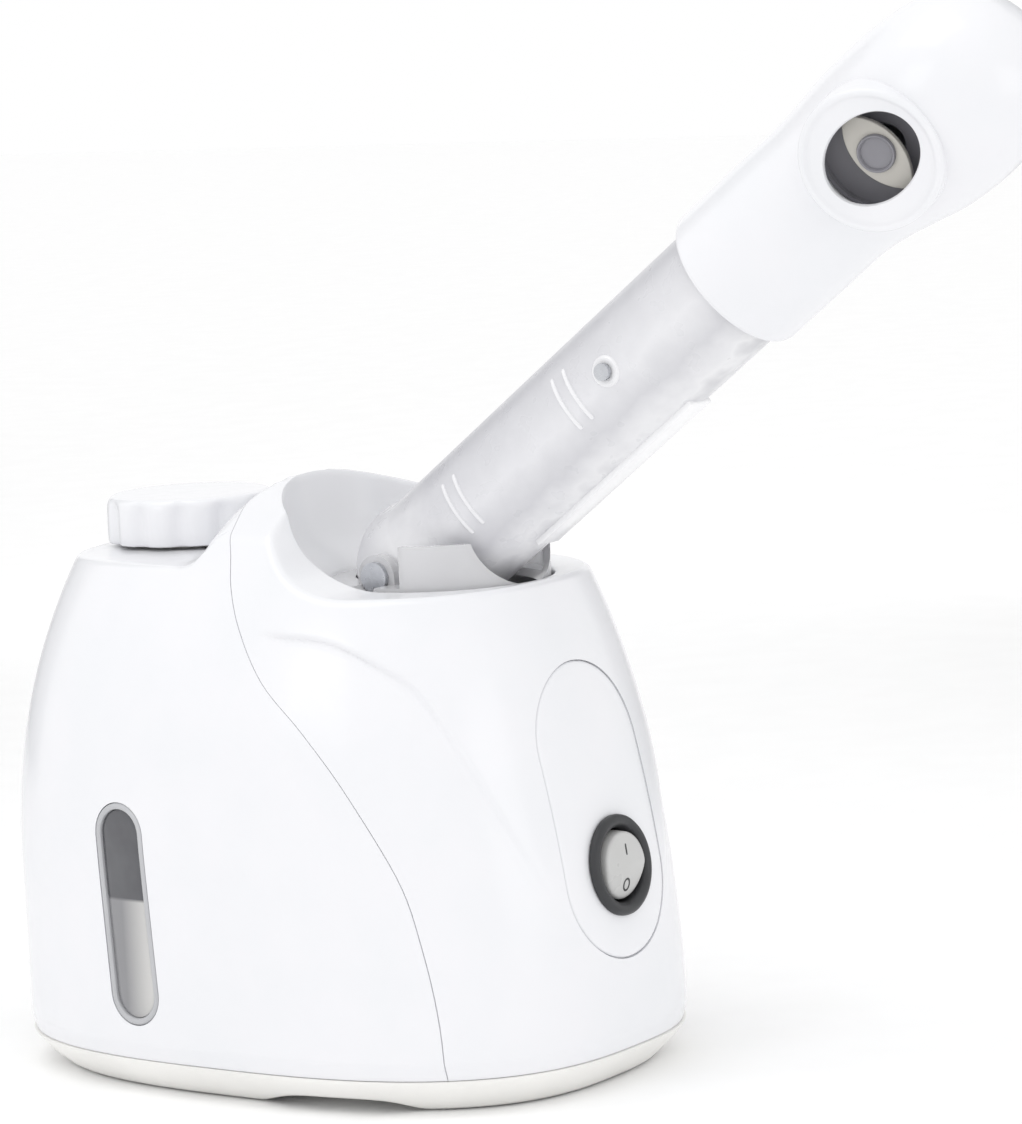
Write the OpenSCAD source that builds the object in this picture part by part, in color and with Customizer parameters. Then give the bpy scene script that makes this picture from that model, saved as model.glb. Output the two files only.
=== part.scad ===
// Tabletop facial steamer: a water tank and boiler in a two-part housing, a turret in the top
// that turns, a clear arm that tilts and telescopes, and a steam head that turns on the arm.
// Front (switch) is -Y, rear (filler cap) is +Y, the level window is on -X, +Z is up.
// The origin is on the table, under the middle of the housing.

/* [Housing] */
// Length of the housing, front to rear
body_l = 206; // [190:1:250]
// Width of the housing
body_w = 146; // [136:1:180]
// Height of the hump behind the turret
crest_h = 180; // [176:1:190]
// Height of the rear shelf that the filler cap stands on
shelf_h = 157; // [154:1:160]
// Height of the deck round the turret
deck_h = 149; // [147:1:151]
// Height of the base tray's skirt
skirt_h = 11; // [10:1:14]
// Wall thickness of the front and rear shells
shell_wall = 2.6; // [2:0.1:3.2]
// Gap at each visible joint line
joint_gap = 0.2; // [0.1:0.05:0.4]

/* [Control panel and switch] */
// Width of the stadium-shaped panel
panel_w = 50; // [44:1:60]
// Height of the panel's lowest point
panel_low = 38; // [32:1:40]
// Height of the panel's highest point
panel_high = 125; // [110:1:130]
// Height of the switch's centre
switch_z = 65; // [60:1:72]
// Diameter of the switch's bezel
bezel_d = 30; // [29:1:36]
// Diameter of the switch's barrel
barrel_d = 24.6; // [24.2:0.1:26]
// How far the switch tips back with the panel
switch_lean = 8; // [4:1:12]
// Angle that the rocker turns from off to on
rocker_throw = 20; // [12:1:22]

/* [Level window] */
// Height of the window opening
window_h = 67; // [50:1:72]
// Width of the window opening
window_w = 19; // [14:1:24]
// Height of the window's centre
window_z = 55; // [50:1:60]
// How far behind the middle the window sits
window_y = 29; // [20:1:35]
// Width of the frame round the lens
window_rim = 2; // [1.5:0.1:3]
// How far the window leans to the rear
window_lean = 3.5; // [0:0.5:6]

/* [Filler] */
// Diameter of the filler cap
cap_d = 52; // [46:1:54]
// Height of the filler cap
cap_h = 14.3; // [13:0.1:18]
// Outer diameter of the filler neck
neck_d = 34; // [28:1:36]
// Wall of the filler neck
neck_wall = 2; // [1.5:0.1:2.5]

/* [Turret] */
// Diameter of the turret
turret_d = 66; // [62:1:68]
// Distance of the turret's axis behind the front of the housing
turret_back = 62; // [60:1:70]
// Height of the arm's pivot
pivot_h = 152; // [151:1:154]
// How far the pivot sits behind the turret's axis
pivot_back = 5; // [3:1:7]
// Diameter of the turret's hollow spindle
spindle_d = 28; // [26:1:30]
// Bore of the spindle
spindle_bore = 20; // [20:0.5:22]
// Diameter of each pivot screw
pivot_d = 5; // [4:0.5:6]

/* [Arm] */
// Angle of the arm above the horizontal
arm_tilt = 37; // [34:1:60]
// Outer diameter of the arm tube
arm_d = 39.4; // [32:0.1:40]
// Wall of the arm tube
arm_wall = 2; // [1.5:0.1:2.5]
// Length of the arm tube from the pivot
arm_l = 158; // [140:1:190]
// How far the neck tube reaches down into the arm tube
neck_overlap = 36; // [30:1:40]
// How far the head's sleeve covers the arm tube
sleeve_overlap = 16; // [14:1:18]

/* [Head] */
// Outer diameter of the head's sleeve
sleeve_d = 46; // [45.5:0.5:50]
// Length of the head
head_l = 122; // [115:1:140]
// Greatest diameter of the head
head_d = 55; // [54:1:60]
// Wall of the head
head_wall = 2; // [1.6:0.1:2.2]
// Angle that the outlet is turned from straight down
outlet_turn = 70; // [0:1:90]
// Diameter of the outlet ring
outlet_d = 41; // [38:1:43]
// Long axis of the outlet's oval mouth
mouth_l = 30; // [26:1:31]
// Short axis of the outlet's oval mouth
mouth_w = 24; // [20:1:25]

/* [Hidden] */
$fn = 64;

white = [0.97, 0.96, 0.95];
clear = [0.84, 0.84, 0.85, 0.6];
fit = 0.05;        // radial clearance of a running fit
easy = 0.3;        // clearance between pieces that move past each other

// ---- housing outline -------------------------------------------------------------------
outline_n = 48;    // points round a level
squareness = 2.7;  // superellipse exponent of the plan
chamfer = 5;       // height of the shells' chamfered lower edge
bowl_d = turret_d + 2;
turret_y = -body_l / 2 + turret_back;
pivot_y = turret_y + pivot_back;
cap_y = body_l / 2 - 50;
floor_z = 6;       // underside of the base tray's floor
floor_t = 2.5;
deck_floor = 128;  // floor of the turret's bowl
bowl_rim_r = turret_d / 2 + 13;

function swell(z, z0, z1, depth, power) =
    z <= z0 ? 0 : depth * pow((z - z0) / (z1 - z0), power);
function under(z) = z >= skirt_h ? 0 : 10 * pow(1 - z / skirt_h, 1.25);
function edge(z) = z < skirt_h ? 0 : max(0, 1 - (z - skirt_h) / chamfer);
function front_in(z) = swell(z, 20, 149, 25, 1.74) + under(z) + edge(z);
function rear_in(z) = swell(z, 60, 157, 22, 2.05) + under(z) + edge(z);
function side_in(z) = swell(z, 60, 180, 37, 2.8) + under(z) + edge(z);
function power_of(v) = sign(v) * pow(abs(v), 2 / squareness);
function level(z, g) = [
    for (i = [0 : outline_n - 1])
        let (a = 360 * (i + 0.5) / outline_n, y_in = sin(a) < 0 ? front_in(z) : rear_in(z))
        [(body_w / 2 - side_in(z) - g) * power_of(cos(a)),
         (body_l / 2 - y_in - g) * power_of(sin(a))]
];
slice_t = 0.3;     // thickness of the slices that a loft is strung between
module slice(z, g, at) translate([0, 0, at]) linear_extrude(slice_t) polygon(level(z, g));
// A stack of hulls through the levels, its foot lowered by drop
module loft(levels, g, drop = 0)
    for (i = [1 : len(levels) - 1])
        hull() {
            slice(levels[i - 1], g, levels[i - 1] - (i == 1 ? drop : 0));
            slice(levels[i], g, levels[i] - slice_t);
        }
shell_levels = [
    skirt_h, skirt_h + chamfer, 32, 48, 62, 76, 90, 103, 115, 126, 136, 145, 153, 161, 168, 175,
    crest_h
];
skirt_levels = [0.6, 2.4, 5, 8, skirt_h];

// Everything above the rear shelf and the slope up to the hump, swung about a line ahead of it
slope_r = 36;      // how far ahead of the turret's axis that line stands
slope_top = 82;
slope_run = 22;
module rear_cut(g)
    translate([0, turret_y - slope_r, 0])
        rotate_extrude($fn = 128) polygon([
            [slope_top - 2 - g, crest_h + 3],
            [slope_top + 0.28 * slope_run - g, crest_h - 0.2 * (crest_h - shelf_h) - g],
            [slope_top + 0.62 * slope_run - g, crest_h - 0.6 * (crest_h - shelf_h) - g],
            [slope_top + 0.86 * slope_run - g, shelf_h + 0.1 * (crest_h - shelf_h) - g],
            [slope_top + 1.05 * slope_run - g, shelf_h - g],
            [body_l * 2, shelf_h - g],
            [body_l * 2, crest_h + 20],
            [slope_top - 2 - g, crest_h + 20]
        ]);

// A solid drawn as an outline in the side view and extruded across the width
module across(width) rotate([90, 0, 90]) linear_extrude(width, center = true) children();

// Everything above the deck, with a sweep up to the hump
sweep_l = 34;      // length of the sweep
module front_cut(g)
    across(body_w * 2)
        polygon(concat(
            [[-body_l, deck_h - g], [turret_y - 3, deck_h - g]],
            [for (a = [10 : 10 : 80])
                [turret_y - 3 + sweep_l * sin(a) + g, deck_h + (crest_h - deck_h) * (1 - cos(a)) - g]],
            [[turret_y - 3 + sweep_l + g, crest_h + 20], [-body_l, crest_h + 20]]
        ));

module body_solid(g)
    difference() {
        loft(shell_levels, g, g > 0 ? 1 : 0);
        rear_cut(g);
        front_cut(g);
        translate([-body_w, -body_l, crest_h - g]) cube([body_w * 2, body_l * 2, 50]);
    }
// The wall of the housing between two depths below its surface
module skin(outer, inner)
    difference() {
        body_solid(outer);
        body_solid(inner);
    }

// The joint line between the shells, seen from the side: [distance behind the turret's axis, z]
seam = [
    [41, crest_h + 5], [41, 180], [39.5, 167], [37, 153], [30, 141], [19, 126], [4, 112],
    [-10, 95], [-24, 71], [-30, 51], [-34, 27], [-34, 0]
];
// The half of space on one side of the joint line, moved by gap
module seam_zone(gap, far_y)
    across(body_w * 2)
        polygon(concat(
            [for (p = seam) [turret_y + p[0] + gap, p[1]]],
            [[far_y, 0], [far_y, crest_h + 5]]
        ));
module front_zone() seam_zone(0, -body_l);
module rear_zone() seam_zone(joint_gap, body_l);

// The turret's bowl, grown by g
module bowl(g)
    translate([0, turret_y, 0])
        rotate_extrude($fn = 96) polygon([
            [0, deck_floor - g], [bowl_d / 2 + g, deck_floor - g], [bowl_d / 2 + g, deck_h],
            [bowl_d / 2 + 4 + g, deck_h + 4], [bowl_d / 2 + 8.5 + g, deck_h + 10],
            [bowl_rim_r - 1 + g, deck_h + 18], [bowl_rim_r + g, crest_h + 10],
            [0, crest_h + 10]
        ]);

// ---- fixings for the shells ------------------------------------------------------------
// Rear bosses reach out to the sides of the rear shell, front bosses to the front shell's nose
boss_h = 8;
rear_bosses = [[body_w / 2 - 20, body_l / 2 - 40], [-body_w / 2 + 20, body_l / 2 - 40]];
front_bosses = [[28, -body_l / 2 + 15], [-28, -body_l / 2 + 15]];
module at_bosses() for (p = concat(rear_bosses, front_bosses)) translate([p[0], p[1], 0]) children();
module boss(p, turn) {
    difference() {
        intersection() {
            translate([p[0], p[1], skirt_h]) {
                cylinder(d = 8, h = boss_h, $fn = 24);
                rotate([0, 0, turn]) translate([0, -1, 0]) cube([60, 2, boss_h]);
            }
            body_solid(shell_wall / 2);
        }
        translate([p[0], p[1], 0]) cylinder(d = 3.5, h = skirt_h + boss_h - 1, $fn = 24);
    }
}

// ---- base ------------------------------------------------------------------------------
ring_r = 44;       // middle radius of the anti-slip ring
ring_t = 3.9;
arch_w = 60;       // width of the arch in each side of the skirt
arch_h = 4.2;
arch_y = -42;
heater_z = 12;     // underside of the heater plate
tank_z = 20;       // underside of the tank
tank_l = 66;
tank_w = body_w - 38;
tank_y = cap_y - 12;
tank_split = 58;
tank_top = 112;
tank_wall = 2.2;
module base_tray()
    color([0.93, 0.92, 0.9])
        difference() {
            union() {
                difference() {
                    loft(skirt_levels, 0);
                    translate([0, 0, floor_z + floor_t]) linear_extrude(20)
                        polygon(level(skirt_h, shell_wall + 1));
                    difference() {
                        loft([0.6, 3, floor_z], shell_wall, 1);
                        cylinder(r = ring_r + 6, h = floor_z);
                    }
                    translate([0, 0, -1]) cylinder(r = ring_r - 6, h = floor_z + 1);
                    translate([0, 0, -1]) cylinder(r = ring_r + 6, h = ring_t + 1);
                }
                for (x = [-1, 1], y = [-1, 1])
                    translate([x * (tank_w / 2 - 20), tank_y + y * (tank_l / 2 - 12), floor_z])
                        cylinder(d = 9, h = tank_z - floor_z);
                for (a = [45 : 90 : 315])
                    translate([0, turret_y, floor_z]) rotate([0, 0, a]) translate([18, 0, 0])
                        cylinder(d = 6, h = heater_z - floor_z);
                at_bosses() translate([0, 0, 0.6]) cylinder(d = 10, h = skirt_h - 0.8);
            }
            at_bosses() {
                translate([0, 0, -1]) cylinder(d = 6.4, h = 5.2);
                cylinder(d = 3.4, h = 20);
            }
            across(body_w * 2) translate([arch_y, -1])
                polygon([for (a = [0 : 10 : 180]) [arch_w / 2 * cos(a), (arch_h + 1) * pow(sin(a), 0.7)]]);
        }
module foot_ring()
    color([0.3, 0.3, 0.31])
        difference() {
            cylinder(r = ring_r + 5, h = ring_t);
            translate([0, 0, -1]) cylinder(r = ring_r - 5, h = 6);
        }
module base_screws()
    color("silver")
        at_bosses() {
            translate([0, 0, 2]) cylinder(d = 6, h = 2.1);
            translate([0, 0, 4]) cylinder(d = 3.2, h = skirt_h + boss_h - 6);
        }

// ---- shells ----------------------------------------------------------------------------
inlet_z = 34;
inlet_w = 28;
inlet_h = 18;
inlet_l = 17;
inlet_y = body_l / 2;
module inlet_block(grow)
    translate([-inlet_w / 2 - grow, inlet_y - inlet_l, inlet_z - inlet_h / 2 - grow])
        cube([inlet_w + 2 * grow, inlet_l + 6, inlet_h + 2 * grow]);

// Outline of a stadium of height h and width w, standing on its end
module stadium(w, h) {
    translate([0, (h - w) / 2]) circle(d = w, $fn = 40);
    translate([0, -(h - w) / 2]) circle(d = w, $fn = 40);
    square([w, h - w], center = true);
}
module window_prism(grow)
    translate([-body_w / 2, window_y, window_z]) rotate([-window_lean, 0, 0])
        rotate([90, 0, -90]) translate([0, 0, -22])
            linear_extrude(30) stadium(window_w + 2 * grow, window_h + 2 * grow);
module rear_shell()
    color(white)
        difference() {
            union() {
                intersection() {
                    skin(0, shell_wall);
                    rear_zone();
                }
                boss(rear_bosses[0], 0);
                boss(rear_bosses[1], 180);
            }
            bowl(shell_wall + joint_gap);
            window_prism(joint_gap);
            inlet_block(joint_gap);
            translate([0, cap_y, shelf_h - 10]) cylinder(d = neck_d + 1, h = 20);
        }

panel_mid = (panel_low + panel_high) / 2;
module panel_prism(grow)
    translate([0, -body_l / 2 + 30, panel_mid]) rotate([90, 0, 0]) linear_extrude(60)
        stadium(panel_w + 2 * grow, panel_high - panel_low + 2 * grow);
switch_y = -body_l / 2 + front_in(switch_z);
module at_switch() translate([0, switch_y, switch_z]) rotate([90 - switch_lean, 0, 0]) children();
panel_t = 1.5;
module front_shell()
    color(white)
        difference() {
            union() {
                difference() {
                    intersection() {
                        body_solid(0);
                        union() {
                            front_zone();
                            bowl(shell_wall);
                        }
                    }
                    difference() {
                        body_solid(shell_wall);
                        bowl(shell_wall);
                    }
                }
                for (p = front_bosses) boss(p, -90);
            }
            bowl(0);
            translate([0, turret_y, 100]) cylinder(d = spindle_d + 10, h = 40);
            difference() {
                panel_prism(joint_gap);
                body_solid(panel_t + 0.1);
            }
            at_switch() translate([0, 0, -20]) cylinder(d = barrel_d + 0.5, h = 40);
        }
module control_panel()
    color(white)
        difference() {
            intersection() {
                skin(0, panel_t);
                panel_prism(0);
            }
            at_switch() translate([0, 0, -20]) cylinder(d = barrel_d + 0.5, h = 40);
        }

// ---- switch ----------------------------------------------------------------------------
pocket_r = barrel_d / 2 - 1.3;
rocker_r = pocket_r - 0.4;
rocker_pin = 2.4;
rocker_axis = 0.5; // height of the rocker's axis above the panel
rocker_pos = [0, switch_y - rocker_axis * cos(switch_lean), switch_z + rocker_axis * sin(switch_lean)];
barrel_l = 17;
module switch_housing()
    color([0.16, 0.16, 0.17])
        at_switch()
            difference() {
                union() {
                    translate([0, 0, 0.4]) cylinder(d = bezel_d, h = 1.4);
                    translate([0, 0, 1.8]) cylinder(d1 = bezel_d, d2 = bezel_d - 3, h = 1.2);
                    translate([0, 0, -barrel_l]) cylinder(d = barrel_d, h = barrel_l + 1);
                }
                translate([0, 0, rocker_axis - 12]) cylinder(r = pocket_r, h = 20);
                translate([-bezel_d / 2 + 1.6, 0, rocker_axis]) rotate([0, 90, 0])
                    cylinder(d = rocker_pin + 2 * fit, h = bezel_d - 3.2);
            }
module switch_terminals()
    color([0.78, 0.66, 0.4])
        at_switch() for (x = [-5, 5]) translate([x - 0.4, -2.4, -barrel_l - 8]) cube([0.8, 4.8, 8]);
module switch_rocker()
    color([0.75, 0.75, 0.76])
        at_switch() translate([0, 0, rocker_axis]) rotate([rocker_throw / 2, 0, 0]) {
            difference() {
                intersection() {
                    sphere(r = rocker_r);
                    translate([0, 0, -6.5]) cylinder(r = rocker_r - 0.9, h = 13);
                }
                for (side = [-1, 1])
                    translate([-20, 0, 3.2]) rotate([side * rocker_throw / 2, 0, 0])
                        translate([0, side > 0 ? 0 : -30, 0]) cube([40, 30, 20]);
            }
            translate([-pocket_r - 0.8, 0, 0]) rotate([0, 90, 0])
                cylinder(d = rocker_pin, h = 2 * pocket_r + 1.6);
        }

// ---- window ----------------------------------------------------------------------------
module window_frame()
    color([0.72, 0.72, 0.73])
        difference() {
            intersection() {
                skin(0, shell_wall + 2);
                window_prism(0);
            }
            window_prism(-window_rim);
        }
module window_lens()
    color([0.45, 0.45, 0.47, 0.6])
        intersection() {
            skin(1, shell_wall + 0.6);
            window_prism(-window_rim - 0.1);
        }

// ---- tank and filler -------------------------------------------------------------------
module round_box(w, l, r) {
    square([w - 2 * r, l], center = true);
    square([w, l - 2 * r], center = true);
    for (x = [-1, 1], y = [-1, 1]) translate([x * (w / 2 - r), y * (l / 2 - r)]) circle(r = r);
}
feed_d = 9;
feed_z = 34;
tank_r = 18;
module tank_body()
    color([0.95, 0.95, 0.94])
        translate([0, tank_y, 0])
            difference() {
                translate([0, 0, tank_z]) linear_extrude(tank_split - tank_z)
                    round_box(tank_w, tank_l, tank_r);
                translate([0, 0, tank_z + tank_wall]) linear_extrude(100)
                    round_box(tank_w - 2 * tank_wall, tank_l - 2 * tank_wall, tank_r - tank_wall);
                translate([0, -tank_l / 2 - 1, feed_z]) rotate([-90, 0, 0])
                    cylinder(d = feed_d + 2 * fit, h = 10);
            }
gasket_t = 1.6;
module tank_gasket()
    color([0.4, 0.4, 0.42])
        translate([0, tank_y, tank_split])
            linear_extrude(gasket_t) difference() {
                round_box(tank_w, tank_l, tank_r);
                round_box(tank_w - 2 * tank_wall, tank_l - 2 * tank_wall, tank_r - tank_wall);
            }
module tank_cover()
    color([0.5, 0.5, 0.52])
        difference() {
            translate([0, tank_y, tank_split + gasket_t]) difference() {
                linear_extrude(tank_top - tank_split - gasket_t)
                    round_box(tank_w, tank_l, tank_r);
                translate([0, 0, -1]) linear_extrude(tank_top - tank_split - gasket_t + 1 - tank_wall)
                    round_box(tank_w - 2 * tank_wall, tank_l - 2 * tank_wall, tank_r - tank_wall);
            }
            translate([0, cap_y, tank_top - 10]) cylinder(d = neck_d - 2 * neck_wall, h = 20);
        }
neck_top = shelf_h + 8;
module filler_neck()
    color([0.9, 0.9, 0.9])
        translate([0, cap_y, tank_top])
            difference() {
                union() {
                    cylinder(d = neck_d, h = neck_top - tank_top);
                    cylinder(d = neck_d + 8, h = 2.5);
                }
                translate([0, 0, -1]) cylinder(d = neck_d - 2 * neck_wall, h = 100);
            }
plug_z = neck_top + 2;
plug_t = 2.2;
cap_z = shelf_h + 1.2;
stud_d = 8;
module cap_gasket()
    color([0.3, 0.3, 0.31])
        translate([0, cap_y, neck_top + 0.02])
            difference() {
                cylinder(d = neck_d + 3, h = plug_z - neck_top - 0.02);
                translate([0, 0, -1]) cylinder(d = neck_d - 2 * neck_wall - 3, h = 6);
            }
module cap_plug()
    color([0.85, 0.85, 0.86])
        translate([0, cap_y, plug_z])
            difference() {
                cylinder(d = neck_d + 6, h = plug_t);
                translate([0, 0, -1]) cylinder(d = stud_d + 2 * fit, h = 6);
            }
module filler_cap()
    color(white)
        translate([0, cap_y, cap_z])
            difference() {
                union() {
                    difference() {
                        rotate_extrude() polygon([
                            [0, 0], [cap_d / 2, 0], [cap_d / 2, cap_h - 2], [cap_d / 2 - 0.6, cap_h - 0.6],
                            [cap_d / 2 - 2, cap_h], [0, cap_h]
                        ]);
                        translate([0, 0, -1]) cylinder(d = cap_d - 7, h = plug_z + plug_t + easy - cap_z + 1);
                    }
                    translate([0, 0, plug_z - cap_z + 0.2]) cylinder(d = stud_d, h = 4);
                }
                for (a = [0 : 30 : 359])
                    rotate([0, 0, a]) translate([cap_d / 2 + 4.2, 0, -1]) cylinder(r = 5.4, h = cap_h - 1.6);
            }

// ---- boiler ----------------------------------------------------------------------------
boiler_r = 27;
boiler_wall = 3;
boiler_z = heater_z + 4;
boiler_top = 50;
pipe_d = 18;
pipe_top = deck_floor + 2;
module at_boiler(z) translate([0, turret_y, z]) children();
module feed_pipe()
    color([0.85, 0.85, 0.85])
        translate([0, turret_y + boiler_r - boiler_wall - 1, feed_z]) rotate([-90, 0, 0])
            difference() {
                l = tank_y - tank_l / 2 + tank_wall + 1 - turret_y - boiler_r + boiler_wall + 1;
                cylinder(d = feed_d, h = l);
                translate([0, 0, -1]) cylinder(d = feed_d - 3, h = l + 2);
            }
module boiler_cup()
    color([0.75, 0.76, 0.77])
        at_boiler(boiler_z)
            difference() {
                union() {
                    cylinder(r = boiler_r, h = boiler_top - boiler_z);
                    translate([0, 0, boiler_top - boiler_z - 3]) cylinder(r = boiler_r + 3, h = 3);
                }
                translate([0, 0, boiler_wall]) cylinder(r = boiler_r - boiler_wall, h = 100);
                translate([0, 0, feed_z - boiler_z]) rotate([-90, 0, 0])
                    cylinder(d = feed_d + 2 * fit, h = 60);
            }
module boiler_seal()
    color([0.5, 0.2, 0.15])
        at_boiler(boiler_top)
            difference() {
                cylinder(r = boiler_r + 3, h = 1.5);
                translate([0, 0, -1]) cylinder(r = boiler_r - boiler_wall + 0.5, h = 4);
            }
module boiler_lid()
    color([0.88, 0.88, 0.86])
        at_boiler(boiler_top + 1.5)
            difference() {
                union() {
                    cylinder(r = boiler_r + 3, h = 3);
                    cylinder(d1 = 36, d2 = pipe_d + 5, h = 16);
                }
                translate([0, 0, -1]) cylinder(d1 = 31, d2 = pipe_d - 3, h = 9);
                translate([0, 0, 7]) cylinder(d = pipe_d + 2 * fit, h = 20);
            }
module heater_plate()
    color([0.7, 0.7, 0.7])
        at_boiler(heater_z) cylinder(r = boiler_r - 2, h = boiler_z - heater_z);
module heating_element()
    color([0.42, 0.38, 0.36])
        at_boiler(boiler_z + 8)
            rotate([0, 0, 110]) rotate_extrude(angle = 320)
                translate([boiler_r + 3.1, 0]) circle(r = 3, $fn = 24);
stat_z = boiler_z + 20;
stat_turn = 235;
fuse_z = boiler_z + 14;
module thermostat()
    color([0.2, 0.2, 0.2])
        at_boiler(stat_z) rotate([0, 0, stat_turn]) translate([boiler_r + 0.1, 0, 0]) rotate([0, 90, 0]) {
            cylinder(d = 16, h = 6);
            translate([0, 0, 6]) cylinder(d = 9, h = 4);
        }
module thermal_fuse()
    color([0.85, 0.85, 0.8])
        at_boiler(fuse_z) translate([-boiler_r - 3.1, 0, 0]) cylinder(d = 6, h = 14);
module steam_pipe()
    color([0.9, 0.9, 0.9])
        at_boiler(boiler_top + 8.5)
            difference() {
                cylinder(d = pipe_d, h = pipe_top - boiler_top - 8.5);
                translate([0, 0, -1]) cylinder(d = pipe_d - 3, h = 200);
            }

// ---- turret ----------------------------------------------------------------------------
spindle_low = deck_floor - shell_wall - 12;
bearing_t = 5;
bearing_z = deck_floor - shell_wall - bearing_t;
module at_pivot() translate([0, pivot_y, pivot_h]) children();
module steam_seal()
    color([0.5, 0.2, 0.15])
        at_boiler(spindle_low + 3)
            difference() {
                cylinder(d = spindle_bore - 2 * fit, h = 2.4);
                translate([0, 0, -1]) cylinder(d = pipe_d + 0.04, h = 5);
            }
module turret_bearing()
    color([0.88, 0.88, 0.88])
        at_boiler(bearing_z)
            difference() {
                union() {
                    cylinder(d = spindle_d + 22, h = bearing_t);
                    cylinder(d = spindle_d + 9, h = bearing_t + shell_wall);
                }
                translate([0, 0, -1]) cylinder(d = spindle_d + 2 * fit, h = 20);
                for (a = [0 : 120 : 359])
                    rotate([0, 0, a]) translate([spindle_d / 2 + 7.6, 0, -1]) cylinder(d = 2.8, h = 5);
            }
module bearing_screws()
    color("silver")
        at_boiler(bearing_z) for (a = [0 : 120 : 359])
            rotate([0, 0, a]) translate([spindle_d / 2 + 7.6, 0, 0]) {
                translate([0, 0, -2]) cylinder(d = 5, h = 2);
                cylinder(d = 2.6, h = 3.6);
            }
hub_r = arm_d / 2 + 1.3;
socket_r = hub_r + 0.6;
turret_low = deck_floor + 0.6;
turret_top = deck_h + 0.8;
turret_wall = 2.2;
wall_top = deck_h + 13;
lug_x = hub_r + 1.3;
lug_t = 3.4;
lowest_tilt = arm_tilt - 10;
module along_arm(tilt) at_pivot() rotate([90 - tilt, 0, 0]) children();
module turret_base()
    color(clear)
        difference() {
            union() {
                at_boiler(turret_low) difference() {
                    cylinder(d = turret_d, h = turret_top - turret_low);
                    translate([0, 0, -1])
                        cylinder(d = turret_d - 2 * turret_wall, h = turret_top - turret_low - turret_wall + 1);
                }
                intersection() {
                    at_pivot() sphere(r = socket_r + 2);
                    at_boiler(turret_low) cylinder(d = turret_d - 1, h = turret_top - turret_low);
                }
                at_boiler(spindle_low) cylinder(d = spindle_d, h = turret_low + 8 - spindle_low);
                intersection() {
                    at_boiler(turret_top - 1) difference() {
                        cylinder(d = turret_d, h = wall_top - turret_top + 1);
                        translate([0, 0, -1]) cylinder(d = turret_d - 2 * turret_wall, h = 40);
                    }
                    translate([-turret_d / 2, turret_y - turret_d, turret_top - 2])
                        cube([turret_d, turret_d - 8, 40]);
                }
                for (side = [-1, 1])
                    at_pivot() rotate([0, side * 90, 0]) translate([0, 0, lug_x]) {
                        cylinder(d = 13, h = lug_t);
                        translate([side * 3, 0, lug_t / 2]) cube([6, 13, lug_t], center = true);
                    }
            }
            at_pivot() sphere(r = socket_r);
            along_arm(lowest_tilt) cylinder(d = arm_d + 2.6, h = 100);
            at_boiler(spindle_low - 1) cylinder(d = spindle_bore, h = 40);
            at_pivot() translate([-50, 0, 0]) rotate([0, 90, 0]) cylinder(d = pivot_d + 2 * fit, h = 100);
            for (side = [-1, 1])
                at_pivot() rotate([0, side * 90, 0]) translate([0, 0, lug_x + lug_t]) cylinder(d = pivot_d + 5, h = 20);
        }
module turret_retainer()
    color([0.5, 0.5, 0.52])
        at_boiler(spindle_low + 1)
            difference() {
                cylinder(d = spindle_d + 8, h = bearing_z - spindle_low - 1 - 0.3);
                translate([0, 0, -1]) cylinder(d = spindle_d + 0.04, h = 20);
            }
module pivot_screws()
    color("silver")
        for (side = [-1, 1])
            at_pivot() rotate([0, side * 90, 0]) {
                translate([0, 0, lug_x + lug_t + 0.02]) cylinder(d = pivot_d + 4, h = 1.6);
                translate([0, 0, hub_r - 6]) cylinder(d = pivot_d, h = lug_x + lug_t + 0.1 - hub_r + 6);
            }

// ---- arm -------------------------------------------------------------------------------
arm_r = arm_d / 2;
bore_r = arm_r - arm_wall;
rail_w = 11;
rail_low = 40;     // the rail starts past the deck's lip when the arm is at its lowest
rail_l = 70;
seal_s = arm_l - 8;
stop_s = 101;
module wedge(from, to, r, h) linear_extrude(h)
    polygon([[0, 0], for (k = [0 : 6]) let (a = from + (to - from) * k / 6) [r * cos(a), r * sin(a)]]);
module grip_bar(s)
    for (side = [0, 180])
        intersection() {
            translate([0, 0, s]) difference() {
                cylinder(r = arm_r + 0.6, h = 1.3);
                translate([0, 0, -1]) cylinder(r = arm_r - 0.2, h = 4);
            }
            translate([0, 0, s - 1]) rotate([0, 0, side]) wedge(140, 215, arm_d, 4);
        }
module pivot_boss(side)
    rotate([0, side * 90, 0]) translate([0, 0, hub_r - 6.6])
        difference() {
            cylinder(d = pivot_d + 5, h = 6.2);
            translate([0, 0, -1]) cylinder(d = pivot_d + 2 * fit, h = 9);
        }
module arm_tube()
    color(clear)
        along_arm(arm_tilt) {
            difference() {
                union() {
                    sphere(r = hub_r);
                    cylinder(r = arm_r, h = arm_l);
                    intersection() {
                        translate([-rail_w / 2, -arm_r - 0.8, rail_low]) cube([rail_w, 4, rail_l]);
                        cylinder(r = arm_r + 0.8, h = arm_l);
                    }
                    for (s = [32, 37, 83, 88]) grip_bar(s);
                    translate([-arm_r - 0.7, 0, stop_s]) rotate([0, 90, 0]) cylinder(d = 9, h = 3);
                }
                sphere(r = hub_r - arm_wall - 0.4);
                cylinder(r = bore_r, h = arm_l + 1);
                for (side = [-1, 1])
                    rotate([0, side * 90, 0]) translate([0, 0, 10]) cylinder(d = pivot_d + 2 * fit, h = 20);
                for (a = [-8, 12, 32, 52])
                    rotate([arm_tilt - 90 - a, 0, 0]) translate([0, 0, -40]) cylinder(d = 16, h = 40);
                translate([-arm_r - 5, 0, stop_s]) rotate([0, 90, 0]) cylinder(d = 3.1, h = 10);
                translate([0, 0, seal_s]) cylinder(r = bore_r + 1, h = 2.4);
            }
            pivot_boss(-1);
            pivot_boss(1);
        }
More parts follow.
